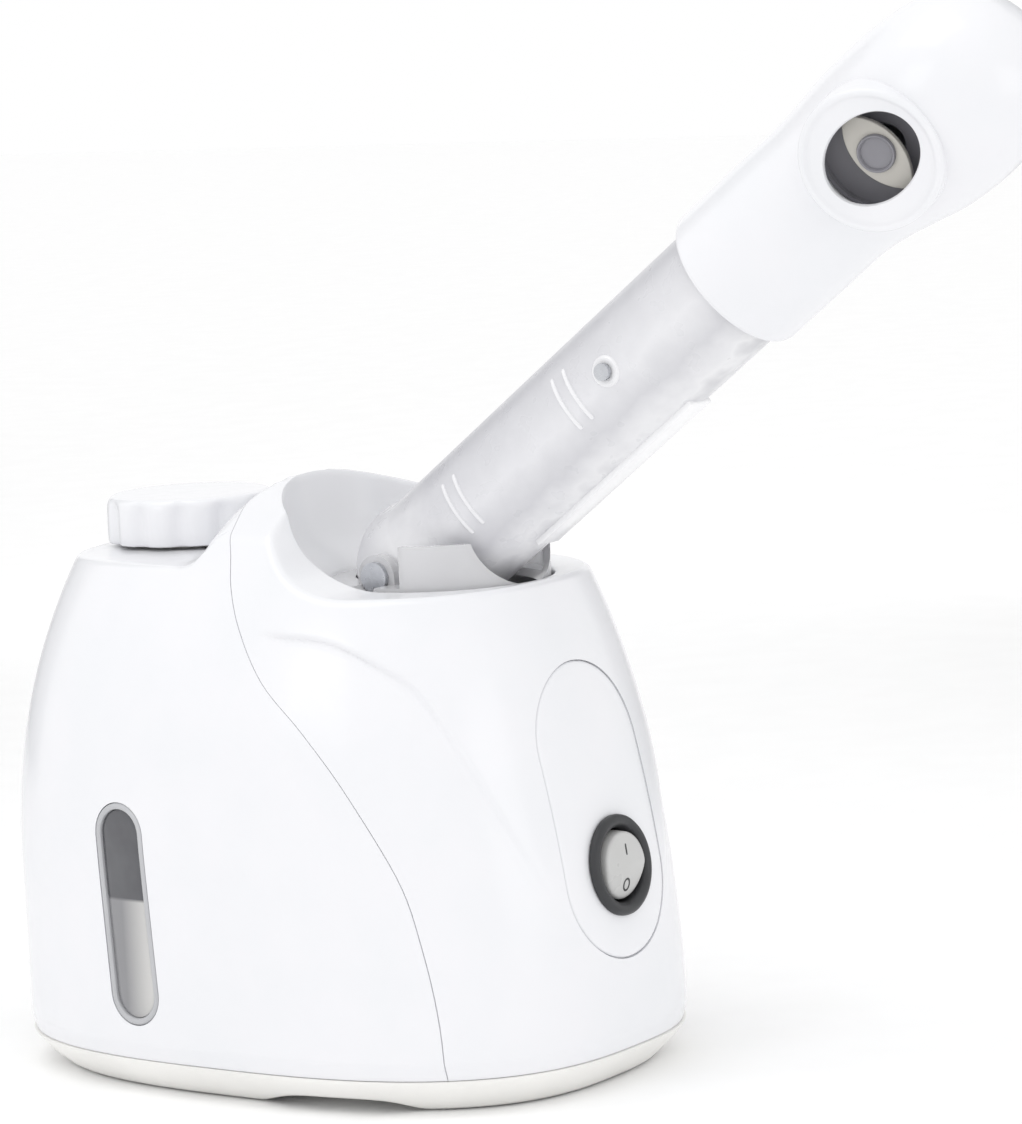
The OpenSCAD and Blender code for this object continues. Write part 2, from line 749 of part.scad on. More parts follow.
module arm_seal()
    color([0.35, 0.35, 0.36])
        along_arm(arm_tilt) translate([0, 0, seal_s + 0.1])
            difference() {
                cylinder(r = bore_r + 0.95, h = 2.2);
                translate([0, 0, -1]) cylinder(r = neck_r + fit, h = 5);
            }
module stop_screw()
    color("silver")
        along_arm(arm_tilt) translate([-arm_r - 2.3, 0, stop_s]) rotate([0, 90, 0]) {
            cylinder(d = 5, h = 1.5);
            cylinder(d = 3, h = 7);
        }

// ---- telescoping neck ------------------------------------------------------------------
neck_r = bore_r - easy;
neck_low = arm_l - neck_overlap;
flange_s = arm_l + 18;
bearing_s = flange_s + 3 + easy;
bearing_l = 8;
clip_s = bearing_s + bearing_l + easy;
module neck_tube()
    color(clear)
        along_arm(arm_tilt)
            difference() {
                union() {
                    translate([0, 0, neck_low]) cylinder(r = neck_r, h = clip_s + 3 - neck_low);
                    translate([0, 0, flange_s]) cylinder(r = arm_r, h = 3);
                }
                translate([0, 0, neck_low - 1]) cylinder(r = neck_r - 1.8, h = 200);
                translate([-6, 0, neck_low - 1]) cube([12, 40, 12]);
            }
module neck_clip()
    color([0.6, 0.6, 0.62])
        along_arm(arm_tilt) translate([0, 0, clip_s])
            difference() {
                cylinder(r = neck_r + 2.2, h = 2);
                translate([0, 0, -1]) cylinder(r = neck_r + 0.02, h = 5);
            }

// ---- head ------------------------------------------------------------------------------
sleeve_s = arm_l - sleeve_overlap;
sleeve_r = sleeve_d / 2;
bulb_r = head_d / 2;
bulb_shift = 3;    // how far the bulb stands off the arm's axis
outlet_s = sleeve_s + 0.57 * head_l;
// Share of the head's length, share of the way from sleeve to bulb radius, share of the shift
head_rings = [
    [0, 0, 0], [0.33, 0, 0], [0.42, 0.25, 0.15], [0.5, 0.62, 0.4], [0.57, 0.88, 0.7],
    [0.65, 1, 0.9], [0.73, 0.96, 1], [0.81, 0.72, 1], [0.88, 0.2, 1.1], [0.94, -0.9, 1.2],
    [0.98, -2.4, 1.3], [1, -4.2, 1.4]
];
module in_head() along_arm(arm_tilt) rotate([0, 0, -outlet_turn]) children();
module head_ring(i, g) {
    ring = head_rings[i];
    last = i == len(head_rings) - 1 ? g : 0;
    radius = sleeve_r + ring[1] * (bulb_r - sleeve_r) - g;
    translate([0, 0, sleeve_s + ring[0] * head_l - last]) rotate([0, 0, outlet_turn])
        translate([0, -ring[2] * bulb_shift, 0]) cylinder(r = max(1.5, radius), h = 0.01, $fn = 40);
}
module head_solid(g)
    for (i = [1 : len(head_rings) - 1])
        hull() {
            head_ring(i - 1, g);
            head_ring(i, g);
        }
mouth_y = bulb_r + 2.5;
module head_shell()
    color(white)
        in_head()
            difference() {
                head_solid(0);
                head_solid(head_wall);
                translate([0, 0, sleeve_s - 1]) cylinder(r = sleeve_r - head_wall, h = 2);
                translate([0, -10, outlet_s]) rotate([90, 0, 0]) cylinder(d = outlet_d + 2 * joint_gap, h = 40);
            }
module head_bearing()
    color([0.9, 0.9, 0.9])
        in_head() translate([0, 0, bearing_s])
            difference() {
                cylinder(r = sleeve_r - head_wall - 0.1, h = bearing_l);
                translate([0, 0, -1]) cylinder(r = neck_r + fit, h = 20);
            }
function oval(l, w) = [for (a = [0 : 7.5 : 359]) [w / 2 * cos(a), l / 2 * sin(a)]];
ring_low = 18.6;
module outlet_ring()
    color(white)
        in_head() translate([0, 0, outlet_s]) rotate([90, 0, 0])
            difference() {
                translate([0, 0, ring_low]) cylinder(d = outlet_d, h = mouth_y - ring_low);
                translate([0, 0, mouth_y - 3]) cylinder(d1 = mouth_l + 2, d2 = outlet_d - 3, h = 3.01);
                translate([0, 0, ring_low - 1]) linear_extrude(40) polygon(oval(mouth_l, mouth_w));
            }
bridge_z = ring_low + 2;
module outlet_bridge()
    color([0.74, 0.73, 0.7])
        in_head() translate([0, 0, outlet_s]) rotate([90, 0, 0]) translate([0, 0, bridge_z])
            difference() {
                intersection() {
                    linear_extrude(2) intersection() {
                        translate([0, 9]) circle(r = 17);
                        translate([0, -9]) circle(r = 17);
                    }
                    translate([0, 0, -1]) linear_extrude(5) polygon(oval(mouth_l - 0.1, mouth_w - 0.1));
                }
                translate([0, 0, -1]) cylinder(d = 9 + 0.1, h = 5);
            }
module nozzle_tip()
    color([0.5, 0.5, 0.52])
        in_head() translate([0, 0, outlet_s]) rotate([90, 0, 0]) translate([0, 0, bridge_z - 3])
            difference() {
                union() {
                    cylinder(d = 9, h = 6);
                    translate([0, 0, 5.1]) cylinder(d = 11, h = 1.2);
                }
                translate([0, 0, -1]) cylinder(d = 5.6, h = 10);
            }

// ---- power inlet and internal leads ----------------------------------------------------
pin_gap = 8.6;     // between the inlet's two pins
module power_inlet()
    color([0.15, 0.15, 0.16])
        difference() {
            union() {
                inlet_block(-0.1);
                translate([-inlet_w / 2 - 2, inlet_y - shell_wall - 3.2, inlet_z - inlet_h / 2 - 2])
                    cube([inlet_w + 4, 1.8, inlet_h + 4]);
            }
            translate([0, inlet_y - 13, inlet_z]) rotate([-90, 0, 0]) linear_extrude(60) {
                for (x = [-1, 1]) translate([x * pin_gap / 2, 0]) circle(d = 9.2);
                square([pin_gap, 8], center = true);
            }
            translate([-body_w, inlet_y + 0.6, 0]) cube([body_w * 2, 50, 100]);
            for (x = [-1, 1])
                translate([x * pin_gap / 2, inlet_y - 40, inlet_z]) rotate([-90, 0, 0])
                    cylinder(d = 2.4 + 2 * fit, h = 40);
        }
module inlet_pins()
    color([0.8, 0.75, 0.6])
        for (x = [-1, 1])
            translate([x * pin_gap / 2, inlet_y - inlet_l - 3, inlet_z]) rotate([-90, 0, 0]) cylinder(d = 2.4, h = 18);

lead_d = 2.6;
module lead(points)
    for (i = [1 : len(points) - 1])
        hull() {
            translate(points[i - 1]) sphere(d = lead_d, $fn = 10);
            translate(points[i]) sphere(d = lead_d, $fn = 10);
        }
lead_x = body_w / 2 - 15;
lead_back = inlet_y - inlet_l - 4.6;
lead_gap = tank_w / 4 + body_w / 4 - 20;   // midway between a tank post and a screw boss
switch_back = switch_y + 26.8;
term_z = switch_z - 3.8;
stat_end = boiler_r + 11.8;
module live_lead()
    color([0.5, 0.3, 0.2])
        lead([
            [pin_gap / 2, lead_back, inlet_z], [12, lead_back + 1, 24], [24, lead_back, 14],
            [lead_gap, body_l / 2 - 30, 12], [lead_gap, body_l / 2 - 50, 11], [lead_x, 38, 11], [lead_x, 0, 11],
            [lead_x - 4, turret_y, 12], [40, turret_y - 20, 22], [26, switch_back, 44],
            [10, switch_back + 1, term_z - 4], [5, switch_back, term_z]
        ]);
module neutral_lead()
    color([0.25, 0.35, 0.6])
        lead([
            [-pin_gap / 2, lead_back, inlet_z], [-12, lead_back + 1, 24], [-24, lead_back, 14],
            [-lead_gap, body_l / 2 - 30, 12], [-lead_gap, body_l / 2 - 50, 11], [-lead_x, 38, 11], [-lead_x, 4, 11],
            [-lead_x + 4, -8, 12], [-boiler_r - 12, turret_y + 6, 20],
            [-boiler_r - 9.5, turret_y + 1, fuse_z - 3], [-boiler_r - 3.1, turret_y, fuse_z - 1.6]
        ]);
module heater_lead()
    color([0.5, 0.3, 0.2])
        lead([
            [-5, switch_back, term_z], [-6, switch_back + 1, term_z - 3], [-8, switch_back, term_z - 6],
            [-11, switch_back - 2, 51], [-14, switch_back - 3, 47], [-18, switch_back - 3, 43],
            [-20, switch_back - 3, 39], [-22, switch_back - 2, stat_z + 1],
            [stat_end * cos(stat_turn), turret_y + stat_end * sin(stat_turn), stat_z]
        ]);

base_tray();
foot_ring();
base_screws();
rear_shell();
front_shell();
control_panel();
switch_housing();
switch_terminals();
switch_rocker();
window_frame();
window_lens();
tank_body();
tank_gasket();
tank_cover();
filler_neck();
cap_gasket();
cap_plug();
filler_cap();
feed_pipe();
boiler_cup();
boiler_seal();
boiler_lid();
heater_plate();
heating_element();
thermostat();
thermal_fuse();
steam_pipe();
steam_seal();
turret_bearing();
bearing_screws();
turret_base();
turret_retainer();
pivot_screws();
arm_tube();
arm_seal();
stop_screw();
neck_tube();
neck_clip();
head_shell();
head_bearing();
outlet_ring();
outlet_bridge();
nozzle_tip();
power_inlet();
inlet_pins();
live_lead();
neutral_lead();
heater_lead();
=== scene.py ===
# %% [markdown]
# # A tabletop facial steamer
# The working parts come from the CAD frame: each one is already at its real size and place.
# This lesson gives them their looks. The glossy casing, the knob, the head and the clear arm are
# modelled again as smooth meshes round the same dimensions, and every surface gets a material
# named for what it is on the real appliance. Blender works in metres. The sizes below are in
# millimetres, as a moulder would give them, and one function turns them into metres.

# %% Load the frame
import math

import bpy
import numpy as np
from mathutils import Matrix, Quaternion, Vector


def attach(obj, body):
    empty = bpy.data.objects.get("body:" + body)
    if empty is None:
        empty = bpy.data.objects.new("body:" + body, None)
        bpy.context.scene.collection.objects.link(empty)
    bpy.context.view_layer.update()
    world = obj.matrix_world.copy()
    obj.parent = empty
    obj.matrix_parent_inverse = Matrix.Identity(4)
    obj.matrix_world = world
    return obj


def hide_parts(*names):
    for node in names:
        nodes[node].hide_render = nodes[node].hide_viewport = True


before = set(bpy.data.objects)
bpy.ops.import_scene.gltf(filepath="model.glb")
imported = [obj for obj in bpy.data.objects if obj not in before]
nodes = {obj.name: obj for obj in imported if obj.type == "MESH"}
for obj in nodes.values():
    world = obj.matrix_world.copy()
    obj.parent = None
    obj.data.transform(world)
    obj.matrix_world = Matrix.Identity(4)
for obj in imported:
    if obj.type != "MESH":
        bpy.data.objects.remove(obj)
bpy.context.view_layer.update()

MM = 0.001

# %% [markdown]
# ## Camera
# A product shot is taken with a long lens from a little above the object. The steamer is seen
# from its front left corner, so that the switch, the level window and the outlet all show.
# The camera is rolled a few degrees, which gives the picture its slight tilt.

# %% Place the camera
CAMERA_TARGET = Vector((0.0296, -0.046, 0.1493))
CAMERA_AZIMUTH, CAMERA_ELEVATION, CAMERA_ROLL = (math.radians(a) for a in (-55, 7.3, -3))
CAMERA_DISTANCE = 1.42
camera_data = bpy.data.cameras.new("product_camera")
camera_data.lens = 150
camera_data.clip_end = 100
camera = bpy.data.objects.new("product_camera", camera_data)
bpy.context.scene.collection.objects.link(camera)
camera_back = Vector((
    math.sin(CAMERA_AZIMUTH) * math.cos(CAMERA_ELEVATION),
    -math.cos(CAMERA_AZIMUTH) * math.cos(CAMERA_ELEVATION),
    math.sin(CAMERA_ELEVATION),
))
camera.location = CAMERA_TARGET + camera_back * CAMERA_DISTANCE
camera.rotation_mode = "QUATERNION"
look = (-camera_back).to_track_quat("-Z", "Y")
camera.rotation_quaternion = look @ Quaternion((0, 0, 1), CAMERA_ROLL)
bpy.context.scene.camera = camera
print("camera height in mm:", round(camera.location.z / MM))

# %% [markdown]
# ## Studio
# White goods are shot in a light tent: white walls all round, three soft lights and a pale
# table. The tent is the world colour here. Two grey cards stand behind the steamer, out of the
# picture: the white edges mirror them, and so they stay clear of the white tent.

# %% Tent, table and lights
TENT_LIGHT = 1.0
world = bpy.data.worlds.new("light_tent")
world.use_nodes = True
world.node_tree.nodes["Background"].inputs["Color"].default_value = (1, 1, 1, 1)
world.node_tree.nodes["Background"].inputs["Strength"].default_value = TENT_LIGHT
bpy.context.scene.world = world
bpy.context.scene.view_settings.view_transform = "Standard"


def softbox(name, place, aim, size, power):
    """A square area light that faces a point."""
    lamp = bpy.data.lights.new(name, "AREA")
    lamp.size, lamp.energy = size, power
    holder = bpy.data.objects.new(name, lamp)
    bpy.context.scene.collection.objects.link(holder)
    holder.location = place
    holder.rotation_mode = "QUATERNION"
    holder.rotation_quaternion = (Vector(aim) - Vector(place)).to_track_quat("-Z", "Y")


softbox("softbox_top", (-0.4, 0.2, 1.5), (0, 0, 0.1), 1.0, 3.6)
softbox("softbox_left", (-1.6, 0.3, 0.8), (0, 0, 0.12), 0.7, 1.4)
softbox("softbox_front", (-0.1, -1.8, 0.35), (0, 0, 0.1), 0.9, 2.0)


def flag_card(name, side_degrees, width, height, distance):
    """A grey card behind the steamer, out of the picture, that keeps a white edge off the white tent."""
    away = Matrix.Rotation(math.radians(side_degrees), 4, "Z") @ Vector((-camera_back.x, -camera_back.y, 0))
    bpy.ops.object.select_all(action="DESELECT")
    bpy.ops.mesh.primitive_plane_add(size=1)
    card = bpy.context.active_object
    card.name = name
    turn = away.to_track_quat("-Z", "Y").to_matrix().to_4x4()
    card.data.transform(Matrix.Diagonal((width, height, 1, 1)))
    card.data.transform(Matrix.Translation(away * distance + Vector((0, 0, height / 2 + 0.01))) @ turn)
    card.visible_camera = False
    return card


flag_cards = [flag_card("flag_left", 38, 0.55, 1.0, 0.95), flag_card("flag_right", -40, 0.5, 1.0, 1.0)]

# %% [markdown]
# ## Material helpers
# A maker picks colours as sRGB hex values, and a renderer works in linear light, so one function
# turns one into the other. A second small function adds a shader node with its settings and its
# inputs, and every node is made with it. No real surface is quite even, so two recipes that the
# materials share make a value that wanders, and give a shader its tone and gloss from it.

# %% Colour and node helpers
def linear(hex_colour):
    """An sRGB hex colour as linear RGBA."""
    parts = [int(hex_colour[i:i + 2], 16) / 255 for i in (0, 2, 4)]
    return [p / 12.92 if p <= 0.04045 else ((p + 0.055) / 1.055) ** 2.4 for p in parts] + [1]


def add_node(tree, kind, settings=None, inputs=None):
    """Adds a node, sets its properties, and fills or links its inputs."""
    made = tree.nodes.new(kind)
    for key, value in (settings or {}).items():
        setattr(made, key, value)
    for key, value in (inputs or {}).items():
        if isinstance(value, bpy.types.NodeSocket):
            tree.links.new(value, made.inputs[key])
        else:
            made.inputs[key].default_value = value
    return made


def new_surface(name):
    """An empty material: its tree, its shader and a socket with the place on the object in metres."""
    material = bpy.data.materials.new(name)
    material.use_nodes = True
    tree = material.node_tree
    place = add_node(tree, "ShaderNodeTexCoord").outputs["Object"]
    return material, tree, tree.nodes["Principled BSDF"], place


def uneven(tree, place, size_mm, low, high):
    """A value that wanders from low to high in blobs about size_mm across."""
    blobs = add_node(tree, "ShaderNodeTexNoise", {"noise_dimensions": "3D"}, {
        "Vector": place, "Scale": 1 / (size_mm * MM), "Detail": 2.0,
    })
    return add_node(tree, "ShaderNodeMapRange", {"interpolation_type": "SMOOTHSTEP"}, {
        "Value": blobs.outputs["Fac"], "From Min": 0.22, "From Max": 0.78, "To Min": low, "To Max": high,
    }).outputs["Result"]


def tone_and_gloss(tree, shader, place, colours, tone_mm, roughness, haze_mm, spread):
    """Gives a shader a tone between two colours, and a roughness that varies by spread."""
    tone = add_node(tree, "ShaderNodeMix", {"data_type": "RGBA"}, {
        0: uneven(tree, place, tone_mm, 0, 1), 6: linear(colours[0]), 7: linear(colours[1]),
    })
    tree.links.new(tone.outputs[2], shader.inputs["Base Color"])
    haze = uneven(tree, place, haze_mm, roughness * (1 - spread), roughness * (1 + spread))
    tree.links.new(haze, shader.inputs["Roughness"])


# %% [markdown]
# ## Moulded plastics
# Nearly everything on this appliance is injection moulded. The mould's polish decides the gloss,
# and the melt leaves two traces that the eye reads as plastic: a very slight unevenness of tone
# over a few centimetres, and a fine ripple like orange peel. The real ripple is about half a
# millimetre wide, which is too fine to show, so it is drawn about three times coarser.

# %% The plastic recipe
TONE_MM = 28
RIPPLE_MM, RIPPLE_DEPTH, GRAIN_DEPTH = 1.6, 0.012, 0.03
PLASTIC_IOR = 1.53


def moulded(name, colour, shade, roughness, grain_mm=0.0):
    """A moulded plastic: slightly uneven tone, orange peel, and a spark-eroded grain if it has one."""
    material, tree, shader, place = new_surface(name)
    tone_and_gloss(tree, shader, place, (colour, shade), TONE_MM, roughness, TONE_MM / 3, 0.12)
    ripple = add_node(tree, "ShaderNodeTexNoise", {"noise_dimensions": "3D"}, {
        "Vector": place, "Scale": 1 / (RIPPLE_MM * MM), "Detail": 1.0,
    })
    bump = add_node(tree, "ShaderNodeBump", None, {
        "Strength": 0.25, "Distance": RIPPLE_DEPTH * MM, "Height": ripple.outputs["Fac"],
    })
    if grain_mm:
        grain = add_node(tree, "ShaderNodeTexVoronoi", None, {
            "Vector": place, "Scale": 1 / (grain_mm * MM),
        })
        bump = add_node(tree, "ShaderNodeBump", None, {
            "Strength": 0.35, "Distance": GRAIN_DEPTH * MM, "Height": grain.outputs["Distance"],
            "Normal": bump.outputs["Normal"],
        })
    tree.links.new(bump.outputs["Normal"], shader.inputs["Normal"])
    shader.inputs["IOR"].default_value = PLASTIC_IOR
    return material


# High-gloss ABS: a polished mould gives the casing its clean, cool white and tight highlights
gloss_white_abs = moulded("gloss_white_abs", "EBEBEE", "E8E9EC", 0.2)
# The tray is the same resin from a duller mould, a little warmer to the eye
satin_warm_abs = moulded("satin_warm_abs", "F2F1EE", "ECEBE8", 0.38, grain_mm=0.9)
# Glass-filled nylon, spark-eroded mould: nearly black with a dry sheen
black_nylon = moulded("black_nylon", "2E2F32", "262729", 0.42, grain_mm=0.7)
# Rocker of silver-grey ABS
silver_grey_abs = moulded("silver_grey_abs", "C6C6C5", "BDBDBC", 0.3)
# Trim round the window, satin grey ABS
satin_grey_abs = moulded("satin_grey_abs", "BDBEC1", "B4B5B8", 0.34)
# Printed marks: matt dark ink
mark_ink = moulded("mark_ink", "3A3A3C", "333335", 0.6)
# Thermoplastic rubber foot: dark, dull, faintly dusty
soft_rubber = moulded("soft_rubber", "4A4A4C", "424244", 0.75, grain_mm=0.8)
# Silicone seals: translucent grey-white with a waxy gloss
silicone_seal = moulded("silicone_seal", "C9C7C2", "C0BEB9", 0.45)
dark_seal = moulded("dark_seal", "55565A", "4C4D50", 0.6)
# Natural polypropylene: milky and waxy
natural_polypropylene = moulded("natural_polypropylene", "E9E8E3", "E0DFDA", 0.4)
tank_white = moulded("tank_white_polypropylene", "EFEFEC", "E7E7E4", 0.42)
tank_smoke = moulded("tank_smoke_polycarbonate", "5E5F64", "54555A", 0.22)
# Acetal bridge and nozzle: beige-grey and slippery
acetal_beige = moulded("acetal_beige_grey", "C4C1BA", "BAB7B0", 0.38)
acetal_grey = moulded("acetal_grey", "8B8A90", "7F7E84", 0.4)
# Fuse body, fired ceramic sleeve
fired_ceramic = moulded("fired_ceramic", "DEDBD2", "D5D2C9", 0.5, grain_mm=0.6)
# PVC-sheathed wires
brown_pvc = moulded("brown_pvc", "6E4630", "653F2A", 0.42)
blue_pvc = moulded("blue_pvc", "3C5E96", "355586", 0.42)
print("plastics:", len(bpy.data.materials))


# %% [markdown]
# ## Metals
# The screws are zinc-plated steel, the terminals brass, the boiler is cast aluminium and its
# heating element has an oxidised steel sheath. A metal has no colour under its reflection, so
# the look is in the roughness: plating is hazy, and a casting is grainy.

# %% The metal recipe
def metal(name, colour, shade, roughness, grain_mm, depth=0.02):
    """A bare metal with the grain that its making leaves."""
    material, tree, shader, place = new_surface(name)
    tone_and_gloss(tree, shader, place, (colour, shade), grain_mm * 6, roughness, grain_mm, 0.2)
    shader.inputs["Metallic"].default_value = 1.0
    grain = add_node(tree, "ShaderNodeTexNoise", {"noise_dimensions": "3D"}, {
        "Vector": place, "Scale": 1 / (grain_mm * MM), "Detail": 2.0,
    })
    bump = add_node(tree, "ShaderNodeBump", None, {
        "Strength": 0.3, "Distance": depth * MM, "Height": grain.outputs["Fac"],
    })
    tree.links.new(bump.outputs["Normal"], shader.inputs["Normal"])
    return material


zinc_steel = metal("zinc_plated_steel", "C9CBCF", "B9BBC0", 0.32, 0.8)
terminal_brass = metal("terminal_brass", "C9AD6B", "BC9F5E", 0.3, 0.8)
cast_aluminium = metal("cast_aluminium", "C5C7CA", "B3B5B8", 0.5, 1.2, 0.06)
oxidised_sheath = metal("oxidised_steel_sheath", "6B625C", "554D48", 0.55, 0.9)


# %% [markdown]
# ## Clear plastics
# The arm, its neck and the turret are polycarbonate from a lightly blasted mould: light goes
# through the real wall, but it scatters, so the tube looks grey and frosted with soft bands of
# light and shade along it. Here the turret passes a third of the light. The arm passes none: its
# bands are painted shade and painted highlight, laid across and along the tube as tones, which
# keeps them in place and free of speckle. The turret gets a faint painted shade the same way, and
# the rail, boss and grip bars a painted highlight.

# %% Frosted polycarbonate
ARM_TILT = 37
ARM_RUN, ARM_RISE = math.cos(math.radians(ARM_TILT)), math.sin(math.radians(ARM_TILT))
ARM_AXIS, ARM_UP, ARM_START = (0, -ARM_RUN, ARM_RISE), (0, ARM_RISE, ARM_RUN), (0, -0.036, 0.152)


def frosted(name, across_stops, along_stops, passes, roughness):
    """A milky clear plastic with painted shade and highlight: stops are (mm, hex) across and along the arm.
    """
    material, tree, shader, place = new_surface(name)
    local = add_node(tree, "ShaderNodeVectorMath", {"operation": "SUBTRACT"}, {0: place, 1: ARM_START})
    cloudy = uneven(tree, place, 8, -1.5 * MM, 1.5 * MM)
    layers = []
    for axis, stops in ((ARM_UP, across_stops), (ARM_AXIS, along_stops)):
        far = add_node(tree, "ShaderNodeVectorMath", {"operation": "DOT_PRODUCT"}, {
            0: local.outputs[0], 1: axis,
        })
        wavy = add_node(tree, "ShaderNodeMath", {"operation": "ADD"}, {0: far.outputs["Value"], 1: cloudy})
        first, last = stops[0][0], stops[-1][0]
        share = add_node(tree, "ShaderNodeMapRange", None, {
            "Value": wavy.outputs[0], "From Min": first * MM, "From Max": last * MM,
        })
        ramp = add_node(tree, "ShaderNodeValToRGB", None, {"Fac": share.outputs["Result"]})
        ramp.color_ramp.elements.remove(ramp.color_ramp.elements[0])
        for i, (mm, tone) in enumerate(stops):
            spot = ramp.color_ramp.elements[0] if i == 0 else ramp.color_ramp.elements.new(0.5)
            spot.position, spot.color = (mm - first) / (last - first), linear(tone)
        layers.append(ramp.outputs["Color"])
    mix = add_node(tree, "ShaderNodeMix", {"data_type": "RGBA", "blend_type": "MULTIPLY"}, {
        0: 1.0, 6: layers[0], 7: layers[1],
    })
    tree.links.new(mix.outputs[2], shader.inputs["Base Color"])
    haze = uneven(tree, place, 7, roughness * 0.85, roughness * 1.15)
    tree.links.new(haze, shader.inputs["Roughness"])
    shader.inputs["Transmission Weight"].default_value = passes
    shader.inputs["IOR"].default_value = 1.58
    return material


# Painted shade and highlight on the arm: darker towards both edges with a bright band near the lower one,
# white at the hub end, and a dark band along the tube near 121 mm.
ARM_SHADE_AND_HIGHLIGHT_ACROSS = [(-21, "D0D0D3"), (-18, "F2F2F3"), (-15, "E6E6E8"), (-12, "D9D9DC"), (-3, "EDEDEF"),
              (8, "E6E6E8"), (17, "D6D6D9"), (21, "C4C4C8")]
ARM_SHADE_AND_HIGHLIGHT_ALONG = [(-25, "FFFFFF"), (10, "FFFFFF"), (26, "EDEDEF"), (110, "F4F4F5"), (121, "E4E4E7"),
             (125, "FFFFFF"), (160, "F4F4F5")]
frosted_arm_painted_bands = frosted("frosted_polycarbonate", ARM_SHADE_AND_HIGHLIGHT_ACROSS, ARM_SHADE_AND_HIGHLIGHT_ALONG, 0.0, 0.3)
# The turret's tones shift a little across and along the arm's line: a faint painted shade.
frosted_turret = frosted("frosted_polycarbonate_turret", [(-60, "F4F4F5"), (60, "EDEDEF")],
                         [(-60, "F2F2F3"), (60, "F8F8F9")], 0.35, 0.14)
print("materials:", len(bpy.data.materials))

# %% [markdown]
# ## Mesh helpers
# Three ways of making cover nearly all the pieces. A turned piece starts as a circle that is
# extruded ring by ring, as on a lathe. A cut outline starts as a circle whose points are moved
# to the outline, filled and extruded. A surface that follows a formula starts as a grid whose
# points are laid on it. Each finished piece stays at the origin with its place in its mesh.

# %% Lathe, outline, grid and cutting helpers
def at_rest(name, matrix=None):
    """Names the active new object, and puts its place into its mesh."""
    made = bpy.context.active_object
    made.name = made.data.name = name
    made.data.transform(Matrix.Diagonal((MM, MM, MM, 1)))
    if matrix is not None:
        made.data.transform(matrix)
    return made


def close_mesh(weld=True):
    """Welds points that meet, turns the faces outwards and leaves edit mode."""
    bpy.ops.mesh.select_all(action="SELECT")
    if weld:
        bpy.ops.mesh.remove_doubles(threshold=0.002)
    bpy.ops.mesh.normals_make_consistent(inside=False)
    bpy.ops.object.mode_set(mode="OBJECT")


def turned(name, profile, matrix=None, around=96):
    """A piece turned about its own Z: profile is a closed or pole-to-pole list of (radius, z) in mm."""
    bpy.ops.object.select_all(action="DESELECT")
    bpy.ops.mesh.primitive_circle_add(vertices=around, radius=1)
    bpy.ops.object.mode_set(mode="EDIT")
    bpy.ops.mesh.select_all(action="SELECT")
    last_r, last_z = 1, 0
    for i, (r, z) in enumerate(profile):
        r = max(r, 1e-4)
        if i:
            bpy.ops.mesh.extrude_edges_move()
        bpy.ops.transform.resize(value=(r / last_r, r / last_r, 1))
        bpy.ops.transform.translate(value=(0, 0, z - last_z))
        last_r, last_z = r, z
    close_mesh()
    return at_rest(name, matrix)


def cut_outline(name, outline, depth, matrix=None):
    """A flat outline in mm, filled and extruded along its own Z by depth."""
    bpy.ops.object.select_all(action="DESELECT")
    bpy.ops.mesh.primitive_circle_add(vertices=len(outline), radius=1, fill_type="NGON")
    made = bpy.context.active_object
    for point, (x, y) in zip(made.data.vertices, outline):
        point.co = (x, y, 0)
    bpy.ops.object.mode_set(mode="EDIT")
    bpy.ops.mesh.select_all(action="SELECT")
    bpy.ops.mesh.extrude_region_move(TRANSFORM_OT_translate={"value": (0, 0, depth)})
    close_mesh(weld=False)
    return at_rest(name, matrix)


def laid_grid(name, rows, matrix=None, round_rows=False):
    """A grid laid on rows of points in mm. Its columns close into a ring, and its rows too if asked."""
    rows = np.concatenate([rows, rows[:, :1]], axis=1)
    if round_rows:
        rows = np.concatenate([rows, rows[:1]], axis=0)
    high, wide = rows.shape[:2]
    bpy.ops.object.select_all(action="DESELECT")
    bpy.ops.mesh.primitive_grid_add(x_subdivisions=wide - 1, y_subdivisions=high - 1, size=2)
    made = bpy.context.active_object
    flat = np.zeros(len(made.data.vertices) * 3)
    made.data.vertices.foreach_get("co", flat)
    flat = flat.reshape(-1, 3)
    column = np.rint((flat[:, 0] + 1) / 2 * (wide - 1)).astype(int)
    row = np.rint((flat[:, 1] + 1) / 2 * (high - 1)).astype(int)
    made.data.vertices.foreach_set("co", rows[row, column].ravel())
    bpy.ops.object.mode_set(mode="EDIT")
    close_mesh()
    return at_rest(name, matrix)


def cut_with(piece, tool, how="DIFFERENCE"):
    """Cuts piece with tool, or keeps what they share, and removes the tool."""
    step = piece.modifiers.new("cut", "BOOLEAN")
    step.operation, step.object, step.solver = how, tool, "MANIFOLD"
    bpy.ops.object.select_all(action="DESELECT")
    bpy.context.view_layer.objects.active = piece
    bpy.ops.object.modifier_apply(modifier=step.name)
    bpy.data.objects.remove(tool)


SHARP_ANGLE = 35


def soften(piece, width_mm):
    """Rounds the sharp edges, as a mould's tool radius does."""
    step = piece.modifiers.new("tool_radius", "BEVEL")
    step.width, step.segments = width_mm * MM, 3
    step.limit_method, step.angle_limit = "ANGLE", math.radians(SHARP_ANGLE)
    step.harden_normals = False
    bpy.ops.object.select_all(action="DESELECT")
    bpy.context.view_layer.objects.active = piece
    bpy.ops.object.modifier_apply(modifier=step.name)


